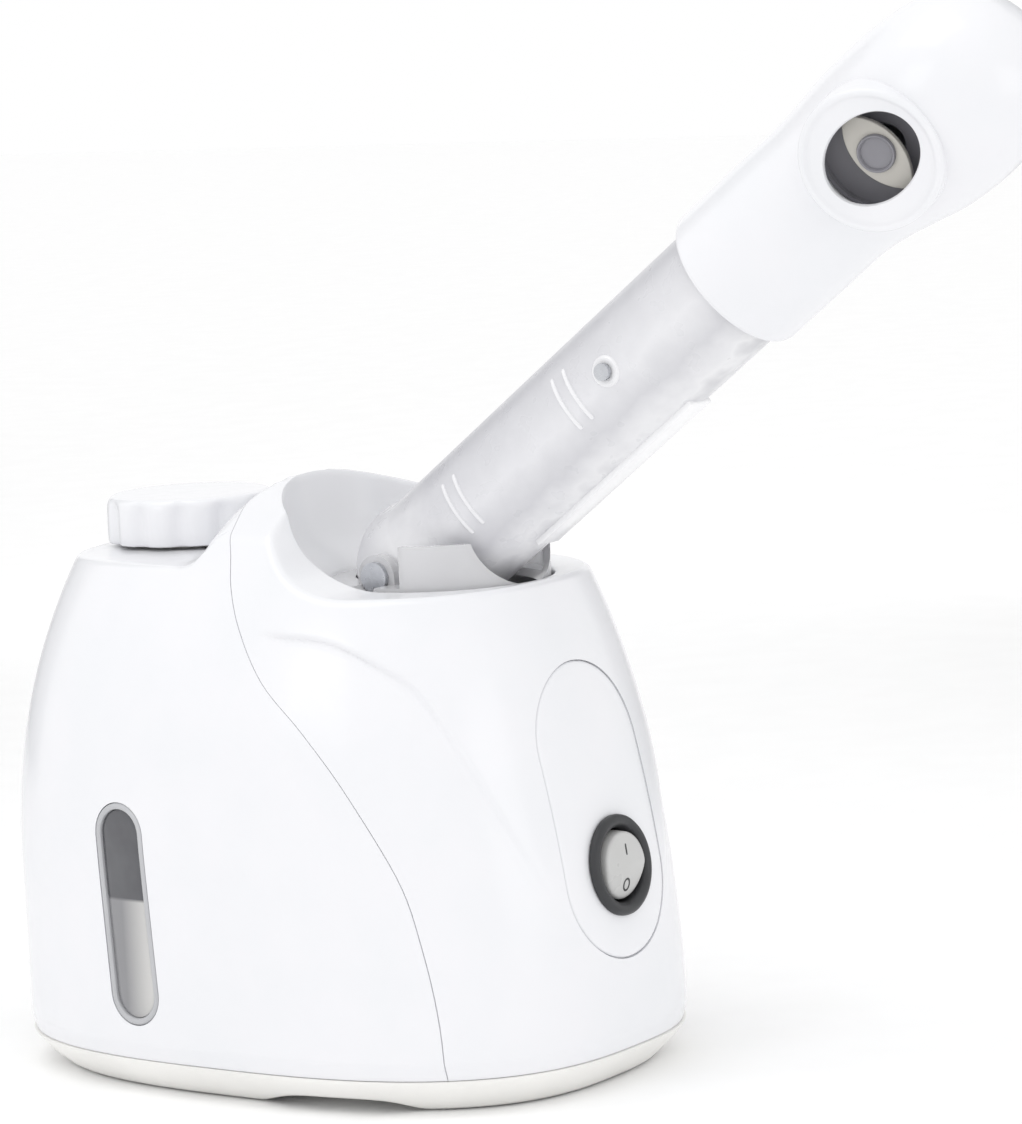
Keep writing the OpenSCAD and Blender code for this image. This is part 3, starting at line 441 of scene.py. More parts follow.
def finish_piece(piece, material, body, stands_for=()):
    """Gives a new piece its material, shading and body, and hides the CAD parts it stands for."""
    bpy.ops.object.select_all(action="DESELECT")
    piece.select_set(True)
    bpy.context.view_layer.objects.active = piece
    bpy.ops.object.shade_smooth_by_angle(angle=math.radians(SHARP_ANGLE))
    piece.data.materials.clear()
    piece.data.materials.append(material)
    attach(piece, body)
    if stands_for:
        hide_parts(*stands_for)
    print(piece.name, len(piece.data.polygons), "faces")


# %% [markdown]
# ## The outline of the housing
# The casing is one soft shape: a rounded rectangle in plan that leans in towards the top, a flat
# deck in front, a hump behind the turret that falls to the rear shelf, and a round bowl for the
# turret. These are the same formulas as in the CAD source, so the looks and the mechanism agree.

# %% Dimensions of the casing, in mm
BODY_L, BODY_W = 206, 146
CREST_H, DECK_H, SKIRT_H = 180, 149, 11
SQUARENESS = 2.7
WALL = 2.6
CREST_ARCH = 0.0065
SLOPE_BACK, SWEEP_BACK, SWEEP_L = 36, 3, 34
TURRET_Y = -BODY_L / 2 + 62
BOWL_R, BOWL_FLOOR, BOWL_HOLE_R = 34, 128, 19
PIVOT = Vector((0, TURRET_Y + 5, 152))


def swell(z, start, end, depth, power):
    """How far a side has leaned in at z: nothing up to start, and depth at end."""
    return np.where(z <= start, 0, depth * np.power(np.maximum(z - start, 0) / (end - start), power))


def foot_inset(z):
    below = 10 * np.power(np.clip(1 - z / SKIRT_H, 0, 1), 1.25)
    above = np.where(z < SKIRT_H, 0, np.clip(1 - (z - SKIRT_H) / 5, 0, 1))
    return below + above


def half_width(z):
    return BODY_W / 2 - swell(z, 60, 180, 37, 2.8) - foot_inset(z)


def half_front(z):
    return BODY_L / 2 - swell(z, 20, 149, 25, 1.74) - foot_inset(z)


def half_rear(z):
    return BODY_L / 2 - swell(z, 60, 157, 22, 2.05) - foot_inset(z)


def outline_radius(turn, z, inset=0.0, centre_y=TURRET_Y):
    """Distance from a vertical axis at centre_y to the casing's side, in direction turn at height z."""
    across, front, rear = (half(z) - inset for half in (half_width, half_front, half_rear))
    low, high = np.zeros_like(turn + z), np.full_like(turn + z, 400.0)
    for _ in range(44):
        middle = (low + high) / 2
        x, y = middle * np.cos(turn), centre_y + middle * np.sin(turn)
        along = np.where(y < 0, front, rear)
        inside = np.power(np.abs(x) / across, SQUARENESS) + np.power(np.abs(y) / along, SQUARENESS) < 1
        low, high = np.where(inside, middle, low), np.where(inside, high, middle)
    return low


def smooth_curve(points, steps):
    """A Catmull-Rom curve through points, with steps on each span."""
    p = np.array(points, float)
    p = np.vstack([2 * p[0] - p[1], p, 2 * p[-1] - p[-2]])
    t = np.linspace(0, 1, steps, endpoint=False)[:, None]
    spans = [
        0.5 * (2 * b + (c - a) * t + (2 * a - 5 * b + 4 * c - d) * t**2 + (3 * b - a - 3 * c + d) * t**3)
        for a, b, c, d in zip(p[:-3], p[1:-2], p[2:-1], p[3:])
    ]
    return np.vstack(spans + [p[-2][None]])


BOWL_CURVE = smooth_curve([
    (34, 147), (34, 149), (38, 153), (42.5, 159), (45, 167), (46, 180), (46, 200),
], 12)
SLOPE_CURVE = smooth_curve([
    (72, 190), (80, 183), (88.2, 175.4), (95.6, 166.2), (100.9, 159.6), (106, 157), (112, 157),
], 12)


def bowl_radius(z):
    return np.interp(z, BOWL_CURVE[:, 1], BOWL_CURVE[:, 0])


def top_height(x, y):
    """Height of the casing's top over a point: crest, rear slope and shelf, front sweep and deck."""
    rear = np.interp(np.hypot(x, y - (TURRET_Y - SLOPE_BACK)), SLOPE_CURVE[:, 0], SLOPE_CURVE[:, 1])
    sweep = np.clip((y - (TURRET_Y - SWEEP_BACK)) / SWEEP_L, 0, 1)
    rise = (CREST_H - DECK_H) * (1 - np.sqrt(1 - np.minimum(sweep, 1) ** 2))
    front = np.where(sweep >= 1, 400, DECK_H + rise)
    return np.minimum(np.minimum(rear, front), CREST_H - CREST_ARCH * x * x)


print("half width at the foot, middle and shelf:", [float(half_width(np.array(z))) for z in (16, 90, 157)])

# %% [markdown]
# The front of the casing has a raised shield: a line starts beside the seam under the bowl, runs
# forward and bends down round the control panel, crisp at first and then soft. It is put into
# the outline itself as a step and a fine groove of about a millimetre, so it needs no cutting.

# %% The shield's step
SHIELD_CURVE = smooth_curve([
    (0, 30), (6.7, 37), (16.3, 56), (22.7, 76), (30.1, 101), (35.8, 119), (40.7, 127), (54, 137), (72, 139),
], 10)
SHIELD_STEP = 1.2
GROOVE_DEPTH, GROOVE_HALF = 0.9, 0.9


def ease(v):
    v = np.clip(v, 0, 1)
    return v * v * (3 - 2 * v)


def shield(x, y, z):
    """How far the casing stands out at a point of its side."""
    turn = np.degrees(np.arctan2(np.abs(x), -y))
    line = np.interp(turn, SHIELD_CURVE[:, 0], SHIELD_CURVE[:, 1])
    steepness = np.interp(turn, [0, 8, 36, 46, 60], [2.2, 2.4, 2.3, 0.9, 0.2])
    away = (z - line) / np.sqrt(1 + steepness**2)
    softness = np.interp(turn, [8, 24, 38, 50], [10, 6, 2.0, 1.2])
    fade = ease((76 - turn) / 12) * np.interp(turn, [0, 20, 40], [0.45, 0.7, 1])
    groove = GROOVE_DEPTH * fade * np.interp(turn, [10, 26, 42], [0, 0.45, 1])
    groove *= np.exp(-np.square(away / GROOVE_HALF))
    return SHIELD_STEP * fade * ease(away / softness + 0.5) - groove


# %% [markdown]
# ## The casing's skin
# Seen from the turret's axis, each upright slice of the casing is the same story: up the wall of
# the bowl, over the rim, along the top, over the shoulder and down the side. So the skin is a
# grid with one column for each direction and one row for each step of that story. The corners
# are rounded by averaging each point over a short length of its own slice.

# %% Slices of the casing
AROUND = 400
turns = (np.arange(AROUND) + 0.5) * 2 * math.pi / AROUND


def side_radius(turn, z, inset):
    base = outline_radius(turn, z, inset)
    if inset:
        return base
    return base + shield(base * np.cos(turn), TURRET_Y + base * np.sin(turn), z)


def first_height(test, low, high):
    """Lowest height for each direction at which test becomes true."""
    low, high = np.full(AROUND, float(low)), np.full(AROUND, float(high))
    for _ in range(30):
        middle = (low + high) / 2
        hit = test(middle)
        low, high = np.where(hit, low, middle), np.where(hit, middle, high)
    return (low + high) / 2


def under_top(radius, z, inset):
    return z >= top_height(radius * np.cos(turns), TURRET_Y + radius * np.sin(turns)) - inset


def slice_points(inset, floor_rows, wall_rows, top_rows, side_rows):
    """(radius, z) of the slices at a depth under the surface, from the bowl's hole to the foot."""
    bowl = lambda z: bowl_radius(z) + inset
    side = lambda z: side_radius(turns, z, inset)
    rim_z = first_height(lambda z: under_top(bowl(z), z, inset) | (bowl(z) >= side(z)), 130, 190)
    edge_z = first_height(lambda z: under_top(side(z), z, inset) | (bowl(z) >= side(z)), 100, 190)
    rim_r, edge_r = bowl(rim_z), side(edge_z)
    floor_z = BOWL_FLOOR - inset
    rows = []
    for r in np.linspace(BOWL_HOLE_R, BOWL_R + inset, floor_rows):
        rows.append((np.full(AROUND, r), np.full(AROUND, float(floor_z))))
    for t in np.linspace(0, 1, wall_rows)[1:]:
        z = floor_z + (rim_z - floor_z) * t
        rows.append((bowl(z), z))
    for t in np.linspace(0, 1, top_rows)[1:-1]:
        r = rim_r + (np.maximum(edge_r, rim_r) - rim_r) * t
        x, y = r * np.cos(turns), TURRET_Y + r * np.sin(turns)
        has_top = edge_r > rim_r + 0.05
        rows.append((r, np.where(has_top, top_height(x, y) - inset, rim_z)))
    for t in np.linspace(0, 1, side_rows):
        z = edge_z + (SKIRT_H - edge_z) * t
        rows.append((side(z), z))
    return np.array(rows)


END_RUN = 6


def round_corners(rows, reach):
    """Averages each slice along its own length, over reach mm each way at each row."""
    out = rows.copy()
    for k in range(rows.shape[2]):
        r, z = rows[:, 0, k], rows[:, 1, k]
        s = np.concatenate([[0], np.cumsum(np.hypot(np.diff(r), np.diff(z)))])
        s_more = np.concatenate([[-END_RUN], s, [s[-1] + END_RUN]])
        for i, values in enumerate((r, z)):
            first = values[0] - (values[1] - values[0]) / max(s[1] - s[0], 1e-6) * END_RUN
            last = values[-1] + (values[-1] - values[-2]) / max(s[-1] - s[-2], 1e-6) * END_RUN
            more = np.concatenate([[first], values, [last]])
            spread = np.linspace(-1, 1, 9)
            out[:, i, k] = np.mean([np.interp(s + u * reach, s_more, more) for u in spread], axis=0)
    return out


def to_space(rows):
    """Slices as rows of points round the turret's axis."""
    r, z = rows[:, 0], rows[:, 1]
    return np.stack([r * np.cos(turns), TURRET_Y + r * np.sin(turns), z], axis=-1)


FLOOR_ROWS, WALL_ROWS, TOP_ROWS, SIDE_ROWS = 5, 40, 30, 200
outer = slice_points(0, FLOOR_ROWS, WALL_ROWS, TOP_ROWS, SIDE_ROWS)
shoulder_row = FLOOR_ROWS + WALL_ROWS + TOP_ROWS - 3
last_row = len(outer)
reach_rows = [0, 12, 44, shoulder_row - 6, shoulder_row, shoulder_row + 7, last_row - 4, last_row]
reach = np.interp(np.arange(last_row), reach_rows, [0.8, 1.2, 1.3, 1.6, 2.4, 0.4, 0.4, 0.3])
outer = round_corners(outer, reach)
inner = slice_points(WALL, 3, 16, 12, 30)
casing_rows = np.concatenate([to_space(outer), to_space(inner)[::-1]])
casing = laid_grid("casing", casing_rows, round_rows=True)
print("casing:", len(casing.data.polygons), "faces")

# %% [markdown]
# ## The two shells
# The casing is moulded as a front and a rear shell. They meet at a joint line that starts on top
# of the hump, runs down the side and sweeps forward to the foot. The line is drawn in the side
# view, and everything behind it is one solid block: the rear shell is what the casing shares
# with that block, and the front shell is the rest. The bowl stays whole with the front shell.

# %% Cut the casing at the joint line
SEAM = [(12, 200), (9, 181), (8, 176), (3, 169), (-1.5, 161), (-5, 152), (-11, 141), (-22, 126), (-37, 112),
        (-51, 95), (-65, 71), (-71, 51), (-75, 27), (-76, 0)]
SEAM_GAP = 0.3
seam_curve = smooth_curve(SEAM, 6)
SIDEWAYS = Matrix(((0, 0, 1, 0), (1, 0, 0, 0), (0, 1, 0, 0), (0, 0, 0, 1)))


def behind_seam(name, gap):
    """Everything behind the joint line, as a block across the casing."""
    line = [(y + gap, z) for y, z in seam_curve]
    outline = line + [(BODY_L, -5), (BODY_L, 205)]
    return cut_outline(name, outline, 2 * BODY_W, Matrix.Translation((-BODY_W * MM, 0, 0)) @ SIDEWAYS)


BLOCK_LOW, BLOCK_TOP = 146, 192


def bowl_block(name, grow):
    """The bowl as a solid, grown by grow all round."""
    profile = [(0, BOWL_FLOOR - grow), (BOWL_R + grow, BOWL_FLOOR - grow)]
    profile += [(float(bowl_radius(z)) + grow, z) for z in np.linspace(BLOCK_LOW, BLOCK_TOP, 24)]
    profile += [(0, BLOCK_TOP)]
    return turned(name, profile, Matrix.Translation((0, TURRET_Y * MM, 0)), 128)


rear_block = behind_seam("rear_block", SEAM_GAP)
cut_with(rear_block, bowl_block("bowl_clear", WALL + 0.3))
rear_casing = casing.copy()
rear_casing.data = casing.data.copy()
bpy.context.scene.collection.objects.link(rear_casing)
rear_casing.name = "rear_casing"
cut_with(rear_casing, rear_block, "INTERSECT")
front_block = behind_seam("front_block", 0)
cut_with(front_block, bowl_block("bowl_kept", WALL + 0.05))
cut_with(casing, front_block)
casing.name = "front_casing"
print("rear", len(rear_casing.data.polygons), "front", len(casing.data.polygons))


# %% [markdown]
# ## Openings in the shells
# The level window, the mains inlet and the filler go through the rear shell, and the switch goes
# through the front shell. The control panel is let into a pocket with a hairline gap round it.

# %% Window, inlet, filler and panel cuts
def stadium(width, height, steps=20, side_steps=14):
    """Outline of an upright stadium, centred, with points along its straight sides too."""
    r = width / 2
    rise = height / 2 - r
    arc = [(r * math.cos(a), rise + r * math.sin(a)) for a in np.linspace(0, math.pi, steps)]
    side = [(-r, z) for z in np.linspace(rise, -rise, side_steps + 2)[1:-1]]
    half = arc + side
    return half + [(-x, -z) for x, z in half]


WINDOW_W, WINDOW_H, WINDOW_Y, WINDOW_Z, WINDOW_LEAN = 19, 67, 29, 55, 3.5
window_place = (
    Matrix.Translation((-BODY_W / 2 * MM, WINDOW_Y * MM, WINDOW_Z * MM))
    @ Matrix.Rotation(math.radians(-WINDOW_LEAN), 4, "X")
    @ Matrix(((0, 0, -1, 0), (-1, 0, 0, 0), (0, 1, 0, 0), (0, 0, 0, 1)))
)
window_cut = cut_outline("window_cut", stadium(WINDOW_W + 0.4, WINDOW_H + 0.4), 40,
                         window_place @ Matrix.Translation((0, 0, -20 * MM)))
cut_with(rear_casing, window_cut)

INLET_HALF_W, INLET_HALF_H, INLET_Z = 14.2, 9.2, 34
UPRIGHT = Matrix.Rotation(math.radians(90), 4, "X")
inlet_outline = [(-INLET_HALF_W, -INLET_HALF_H), (INLET_HALF_W, -INLET_HALF_H),
                 (INLET_HALF_W, INLET_HALF_H), (-INLET_HALF_W, INLET_HALF_H)]
inlet_cut = cut_outline("inlet_cut", inlet_outline, 30,
                        Matrix.Translation((0, (BODY_L / 2 + 8) * MM, INLET_Z * MM)) @ UPRIGHT)
cut_with(rear_casing, inlet_cut)
CAP_Y, FILLER_R = BODY_L / 2 - 50, 17.5
filler_cut = turned("filler_cut", [(0, 140), (FILLER_R, 140), (FILLER_R, 170), (0, 170)],
                    Matrix.Translation((0, CAP_Y * MM, 0)))
cut_with(rear_casing, filler_cut)

PANEL_W, PANEL_LOW, PANEL_HIGH = 50, 38, 125
PANEL_Z = (PANEL_LOW + PANEL_HIGH) / 2
PANEL_H = PANEL_HIGH - PANEL_LOW
panel_cut = cut_outline(
    "panel_cut", stadium(PANEL_W + 0.7, PANEL_H + 0.7, 40), 60,
    Matrix.Translation((0, (-BODY_L / 2 + 40) * MM, PANEL_Z * MM)) @ UPRIGHT,
)
cut_with(casing, panel_cut)
finish_piece(rear_casing, gloss_white_abs, "housing", ["rear_shell"])
finish_piece(casing, gloss_white_abs, "housing", ["front_shell"])


# %% [markdown]
# ## Control panel
# The panel is a thin plate that follows the casing's front. Its outline is drawn as rings that
# shrink from the stadium's edge to its middle line, and each point is laid on the casing. The
# first rings dip a little, which rounds the plate's edge, and a hidden flange behind it closes
# the gap, so no daylight shows round it.

# %% Lay the panel on the casing's front
def front_face(x, z):
    """y of the casing's front at a point, with the shield's step."""
    share = np.power(np.clip(np.abs(x) / half_width(z), 0, 1), SQUARENESS)
    y = -half_front(z) * np.power(1 - share, 1 / SQUARENESS)
    return y - shield(x, y, z)


def stadium_ring(width, height, shrink):
    """x and z of a stadium's outline, shrunk by at most half its width."""
    shrink = min(shrink, width / 2)
    points = np.array(stadium(width - 2 * shrink, height - 2 * shrink, 40))
    return points[:, 0], points[:, 1]


def plate(ring_depths, width, height, centre_z, face):
    """Rows of points for a plate: each ring is (shrink, depth below the face)."""
    rows = []
    for shrink, depth in ring_depths:
        x, z = stadium_ring(width, height, shrink)
        rows.append(np.stack([x, face(x, z + centre_z) + depth, z + centre_z], axis=-1))
    return np.array(rows)


panel_rings = [(shrink, 0) for shrink in (25, 20, 15, 10, 6, 3, 1.4)]
panel_rings += [(0.7, 0.05), (0.3, 0.2), (0.08, 0.45), (0, 0.8)]
panel_rings += [(0, 1.5), (-3, 1.5), (-3, 2.5), (3, 2.5), (12, 2.5), (25, 2.5)]
panel = laid_grid("control_panel_plate", plate(panel_rings, PANEL_W, PANEL_H, PANEL_Z, front_face))

SWITCH_Z, SWITCH_LEAN, BEZEL_R, BARREL_R = 65, 8, 15, 12.3
SWITCH_Y = float(-half_front(np.array(SWITCH_Z)))
switch_place = (
    Matrix.Translation((0, SWITCH_Y * MM, SWITCH_Z * MM))
    @ Matrix.Rotation(math.radians(90 - SWITCH_LEAN), 4, "X")
)
HOLE_R = BARREL_R + 0.3
barrel_cut = turned("barrel_cut", [(0, -20), (HOLE_R, -20), (HOLE_R, 20), (0, 20)], switch_place)
cut_with(panel, barrel_cut)
finish_piece(panel, gloss_white_abs, "housing", ["control_panel"])

# %% [markdown]
# ## Rocker switch
# A round snap-in rocker switch: a black nylon bezel with a sloping inner lip, and a grey rocker
# whose face is two shallow dishes that meet at a ridge. The rocker stands in the off position.
# The bar and the ring on it are the usual marks for on and off.

# %% Bezel and rocker
bezel = turned("switch_bezel", [
    (11.0, -8), (BARREL_R, -8), (BARREL_R, 0.3), (14.6, 0.3), (14.95, 0.6), (BEZEL_R, 1.2), (14.8, 2.0),
    (14.2, 2.7), (13.4, 3.05), (12.6, 3.0), (11.9, 2.6), (11.4, 1.9), (11.1, 1.0), (11.0, 0), (11.0, -8),
], switch_place)
finish_piece(bezel, black_nylon, "housing", ["switch_housing"])

ROCKER_AXIS, ROCKER_LEAN = 0.5, math.radians(10)
rocker_place = (
    switch_place @ Matrix.Translation((0, 0, ROCKER_AXIS * MM)) @ Matrix.Rotation(ROCKER_LEAN, 4, "X")
)


def rocker_face(x, y):
    """Height of the rocker's face over its axis: two faces at an angle, with a soft ridge between."""
    return 3.6 - math.tan(ROCKER_LEAN) * (np.sqrt(y * y + 0.5) - 0.7) - 0.004 * x * x


def disc_rows(rings):
    """Rows of points for a round rocker: each ring is (radius, depth below the face)."""
    angles = np.linspace(0, 2 * math.pi, 96, endpoint=False)
    rows = []
    for radius, drop in rings:
        x, y = radius * np.cos(angles), radius * np.sin(angles)
        rows.append(np.stack([x, y, rocker_face(x, y) - drop], axis=-1))
    return np.array(rows)


rocker_rings = [(0.001, 0)] + [(r, 0) for r in (1, 2, 3, 4, 5, 6, 7, 8, 8.8)]
rocker_rings += [(9.3, 0.08), (9.7, 0.3), (9.95, 0.7), (10.05, 1.2), (10.1, 5), (6, 7), (0.001, 7)]
rocker = laid_grid("rocker_button", disc_rows(rocker_rings), rocker_place)
finish_piece(rocker, silver_grey_abs, "rocker", ["switch_rocker"])


MARK_LIFT, MARK_ROOT = 0.08, -0.2
OFF_Y, ON_Y = -5.6, 5.0


def mark_rows(within, around):
    """A low raised mark between two outlines on the rocker's face."""
    rows = []
    for points, rise in ((within, MARK_ROOT), (within, MARK_LIFT), (around, MARK_LIFT), (around, MARK_ROOT)):
        x, y = np.array(points).T
        rows.append(np.stack([x, y, rocker_face(x, y) + rise], axis=-1))
    return np.array(rows)


ring_turns = np.linspace(0, 2 * math.pi, 40, endpoint=False)
off_ring = mark_rows([(1.15 * math.cos(a), OFF_Y + 1.45 * math.sin(a)) for a in ring_turns],
                     [(1.75 * math.cos(a), OFF_Y + 2.05 * math.sin(a)) for a in ring_turns])
off_mark = laid_grid("rocker_mark_off", off_ring, rocker_place, round_rows=True)
finish_piece(off_mark, mark_ink, "rocker")
bar = [(0.32 * math.cos(a), ON_Y + 1.7 * np.sign(math.sin(a)) * abs(math.sin(a)) ** 0.3) for a in ring_turns]
on_ring = mark_rows([(x * 0.02, ON_Y + (y - ON_Y) * 0.02) for x, y in bar], bar)
on_mark = laid_grid("rocker_mark_on", on_ring, rocker_place, round_rows=True)
finish_piece(on_mark, mark_ink, "rocker")

# %% [markdown]
# ## Level window
# A satin grey frame holds a smoked lens in the side of the rear shell. The lens lets no light
# through: the tank behind it is painted on it, its smoked cover above and its white lower half below,
# and that lower half is painted darker towards the rear as shade inside the casing.

# %% Frame and lens
def side_face(y, z):
    """x of the casing's left side at a point."""
    along = np.where(y < 0, half_front(z), half_rear(z))
    share = np.power(np.clip(np.abs(y) / along, 0, 1), SQUARENESS)
    return -half_width(z) * np.power(1 - share, 1 / SQUARENESS)


def window_rows(ring_depths):
    """Rows of points on the casing's side: each ring is (shrink, depth below the side)."""
    rows = []
    lean = math.radians(WINDOW_LEAN)
    for shrink, depth in ring_depths:
        across, up = stadium_ring(WINDOW_W, WINDOW_H, shrink)
        y = WINDOW_Y - across * math.cos(lean) + up * math.sin(lean)
        z = WINDOW_Z + across * math.sin(lean) + up * math.cos(lean)
        rows.append(np.stack([side_face(y, z) + depth, y, z], axis=-1))
    return np.array(rows)


frame_rings = [(0, 2.6), (0, 0.5), (0.15, 0.1), (0.5, -0.15), (1.0, -0.2), (1.5, -0.12), (1.85, 0.15),
               (2.0, 0.6), (2.0, 2.6)]
window_frame = laid_grid("window_frame_trim", window_rows(frame_rings), round_rows=True)
finish_piece(window_frame, satin_grey_abs, "housing", ["window_frame"])


TANK_JOINT, TANK_SHADE = (58.8, 59.8), (31, 20.5)


def smoked_lens():
    """Smoked acrylic with the tank painted on it: dark above the tank's joint, pale below it in painted
    shade.
    """
    material, tree, shader, place = new_surface("smoked_acrylic_lens")
    split = add_node(tree, "ShaderNodeSeparateXYZ", None, {"Vector": place})
    shares = []
    for axis, first, last in (("Z", *TANK_JOINT), ("Y", *TANK_SHADE)):
        shares.append(add_node(tree, "ShaderNodeMapRange", None, {
            "Value": split.outputs[axis], "From Min": first * MM, "From Max": last * MM,
        }).outputs["Result"])
    # The tank's white half is painted in shade: dark grey at the rear of the window, pale at the front.
    pale = add_node(tree, "ShaderNodeMix", {"data_type": "RGBA"}, {
        0: shares[1], 6: linear("868689"), 7: linear("CFCECC"),
    })
    dark = add_node(tree, "ShaderNodeMix", {"data_type": "RGBA"}, {
        0: uneven(tree, place, 9, 0, 1), 6: linear("4A4A4F"), 7: linear("545559"),
    })
    mix = add_node(tree, "ShaderNodeMix", {"data_type": "RGBA"}, {
        0: shares[0], 6: pale.outputs[2], 7: dark.outputs[2],
    })
    tree.links.new(mix.outputs[2], shader.inputs["Base Color"])
    shader.inputs["Roughness"].default_value = 0.16
    shader.inputs["IOR"].default_value = 1.49
    shader.inputs["Coat Weight"].default_value = 0.6
    shader.inputs["Coat Roughness"].default_value = 0.05
    return material


lens_rings = [(9.5, 0.5), (6.5, 0.55), (4, 0.65), (2.9, 0.75), (2.25, 0.9), (2.1, 1.2), (2.1, 2.4),
              (5, 2.4), (9.5, 2.4)]
window_lens = laid_grid("window_lens_pane", window_rows(lens_rings))
finish_piece(window_lens, smoked_lens(), "housing", ["window_lens"])

# %% [markdown]
# ## Base tray
# The tray is a shallow skirt under the shells. Its side tucks in towards the table, and each
# long side has a low arch for the fingers. The tray's edge is modelled as slices like the
# casing's, and the lower edge of each slice rises where the arch is.

# %% Slices of the tray
ARCH_W, ARCH_H, ARCH_Y = 60, 4.2, -42
FOOT_Z, FLOOR_Z, FLOOR_TOP = 0.6, 6.2, 8.5
TRAY_AROUND = 300
tray_turns = (np.arange(TRAY_AROUND) + 0.5) * 2 * math.pi / TRAY_AROUND


def tray_foot(y):
    """Height of the tray's lower edge."""
    share = np.clip(1 - np.power(np.abs(y - ARCH_Y) / (ARCH_W / 2), 2.2), 0, 1)
    return FOOT_Z + (ARCH_H - FOOT_Z) * ease(share)


def tray_ring(height_of, inset):
    """A ring of the tray: height_of gives z from the foot height."""
    reach_out = outline_radius(tray_turns, np.full(TRAY_AROUND, 8.0), inset, 0)
    foot = tray_foot(reach_out * np.sin(tray_turns))
    z = height_of(foot)
    r = outline_radius(tray_turns, z, inset, 0)
    return np.stack([r * np.cos(tray_turns), r * np.sin(tray_turns), z], axis=-1)


def height_share(share):
    """Heights at a share of the way from the foot to the joint with the shells."""
    return lambda foot: foot + (SKIRT_H - 0.25 - foot) * share


def flat_height(z):
    return lambda foot: np.full(TRAY_AROUND, float(z))


tray_side = [(1, 3.4), (1, 0.5), (0.98, 0.1)] + [(s, 0) for s in (0.9, 0.75, 0.6, 0.45, 0.3, 0.16, 0.06)]
tray_side += [(0, 0.35), (0, 1.6), (0.12, 2.6)]
tray_rows = [tray_ring(height_share(share), inset) for share, inset in tray_side]
tray_rows += [tray_ring(flat_height(FLOOR_Z), inset) for inset in (3.2, 12)]
floor_edge = tray_rows[-1]
tray_rows += [floor_edge * [shrink, shrink, 1] for shrink in (0.8, 0.5, 0.25, 0.001)]
top_floor = [ring.copy() for ring in tray_rows[-5:]]
for ring in top_floor:
    ring[:, 2] = FLOOR_TOP
tray_rows += top_floor[::-1] + [tray_ring(flat_height(FLOOR_TOP), 3.4)]
tray = laid_grid("base_tray_skirt", np.array(tray_rows), round_rows=True)
finish_piece(tray, satin_warm_abs, "housing", ["base_tray"])

# %% [markdown]
# ## Filler cap
# A moulded screw cap with twelve broad finger flutes. The flutes run out below the top, which is
# flat with a rounded edge. The rim is a circle whose radius dips at each flute.

# %% Cap with flutes
CAP_Z, CAP_AROUND = 158.2, 288
FLUTES = 12
cap_turns = np.linspace(0, 2 * math.pi, CAP_AROUND, endpoint=False)


def cap_ring(radius, z, flute_depth):
    dip = 1.3 * np.power(0.5 + 0.5 * np.cos(FLUTES * cap_turns), 1.7)
    r = radius - flute_depth * dip
    return np.stack([r * np.cos(cap_turns), r * np.sin(cap_turns), np.full(CAP_AROUND, float(z))], axis=-1)


cap_rings = [
    (22.6, 8.4, 0), (22.6, 0.3, 0), (23, 0, 0), (25.4, 0, 1.3), (25.8, 0.25, 1.4), (26, 0.8, 1.4),
    (26, 4, 1.4), (25.95, 8, 1.4), (25.9, 10.4, 1.3), (25.8, 11.6, 1.0), (25.6, 12.5, 0.6),
    (25.2, 13.3, 0.25), (24.6, 13.9, 0.05), (23.8, 14.2, 0), (22.8, 14.3, 0), (20, 14.28, 0),
    (14, 14.2, 0), (8, 14.15, 0), (0.001, 14.1, 0), (0.001, 10.6, 0), (14, 10.6, 0), (22.4, 10.4, 0),
]
cap = laid_grid("filler_cap_knob", np.array([cap_ring(*ring) for ring in cap_rings]),
                Matrix.Translation((0, CAP_Y * MM, CAP_Z * MM)), round_rows=True)
finish_piece(cap, gloss_white_abs, "cap", ["filler_cap"])

# %% [markdown]
# ## Steam head
# The head is a sleeve that swells into a closed bulb, like a bent finger. The bulb stands a
# little off the arm's line. The sleeve's open end grips the arm. The outlet is a raised collar
# on the bulb, and inside its oval mouth a flat bridge holds the nozzle.

# %% The arm's own frame, and the head
SLEEVE_S, HEAD_L = 142, 122
OUTLET_S, OUTLET_TURN = SLEEVE_S + 0.57 * HEAD_L, 70
arm_place = Matrix.Translation(PIVOT * MM) @ Matrix.Rotation(math.radians(90 - ARM_TILT), 4, "X")
head_place = arm_place @ Matrix.Rotation(math.radians(-OUTLET_TURN), 4, "Z")
outlet_place = head_place @ Matrix.Translation((0, 0, OUTLET_S * MM)) @ UPRIGHT

HEAD_AROUND, HEAD_WALL, MOUTH_R = 128, 2, 20.1
HEAD_PROFILE = [
    (0, 21.7, 0), (0.2, 22.3, 0), (0.8, 22.8, 0), (2.2, 23, 0), (8, 23, 0), (24, 23, 0), (40, 23, 0),
    (51, 24.1, 0.45), (61, 25.8, 1.2), (69.5, 27, 2.1), (79.3, 27.5, 2.7), (88, 27.2, 3), (96.4, 25.9, 3.1),
    (104, 23.3, 3.3), (109.8, 19.2, 3.6), (113.9, 14.2, 3.8), (116.3, 8, 4),
    (117, 3, 4.1), (117.1, 0.001, 4.1),
]
head_turns = np.linspace(0, 2 * math.pi, HEAD_AROUND, endpoint=False)
head_rows = []
for s, r, shift in smooth_curve(HEAD_PROFILE, 5):
    x, y = max(r, 0) * np.cos(head_turns), max(r, 0) * np.sin(head_turns) - shift
    head_rows.append(np.stack([x, y, np.full(HEAD_AROUND, SLEEVE_S + s)], axis=-1))
head = laid_grid("head_casing", np.array(head_rows), arm_place)
wall = head.modifiers.new("wall", "SOLIDIFY")
wall.thickness, wall.offset, wall.use_even_offset = HEAD_WALL * MM, -1, True
bpy.context.view_layer.objects.active = head
bpy.ops.object.modifier_apply(modifier=wall.name)
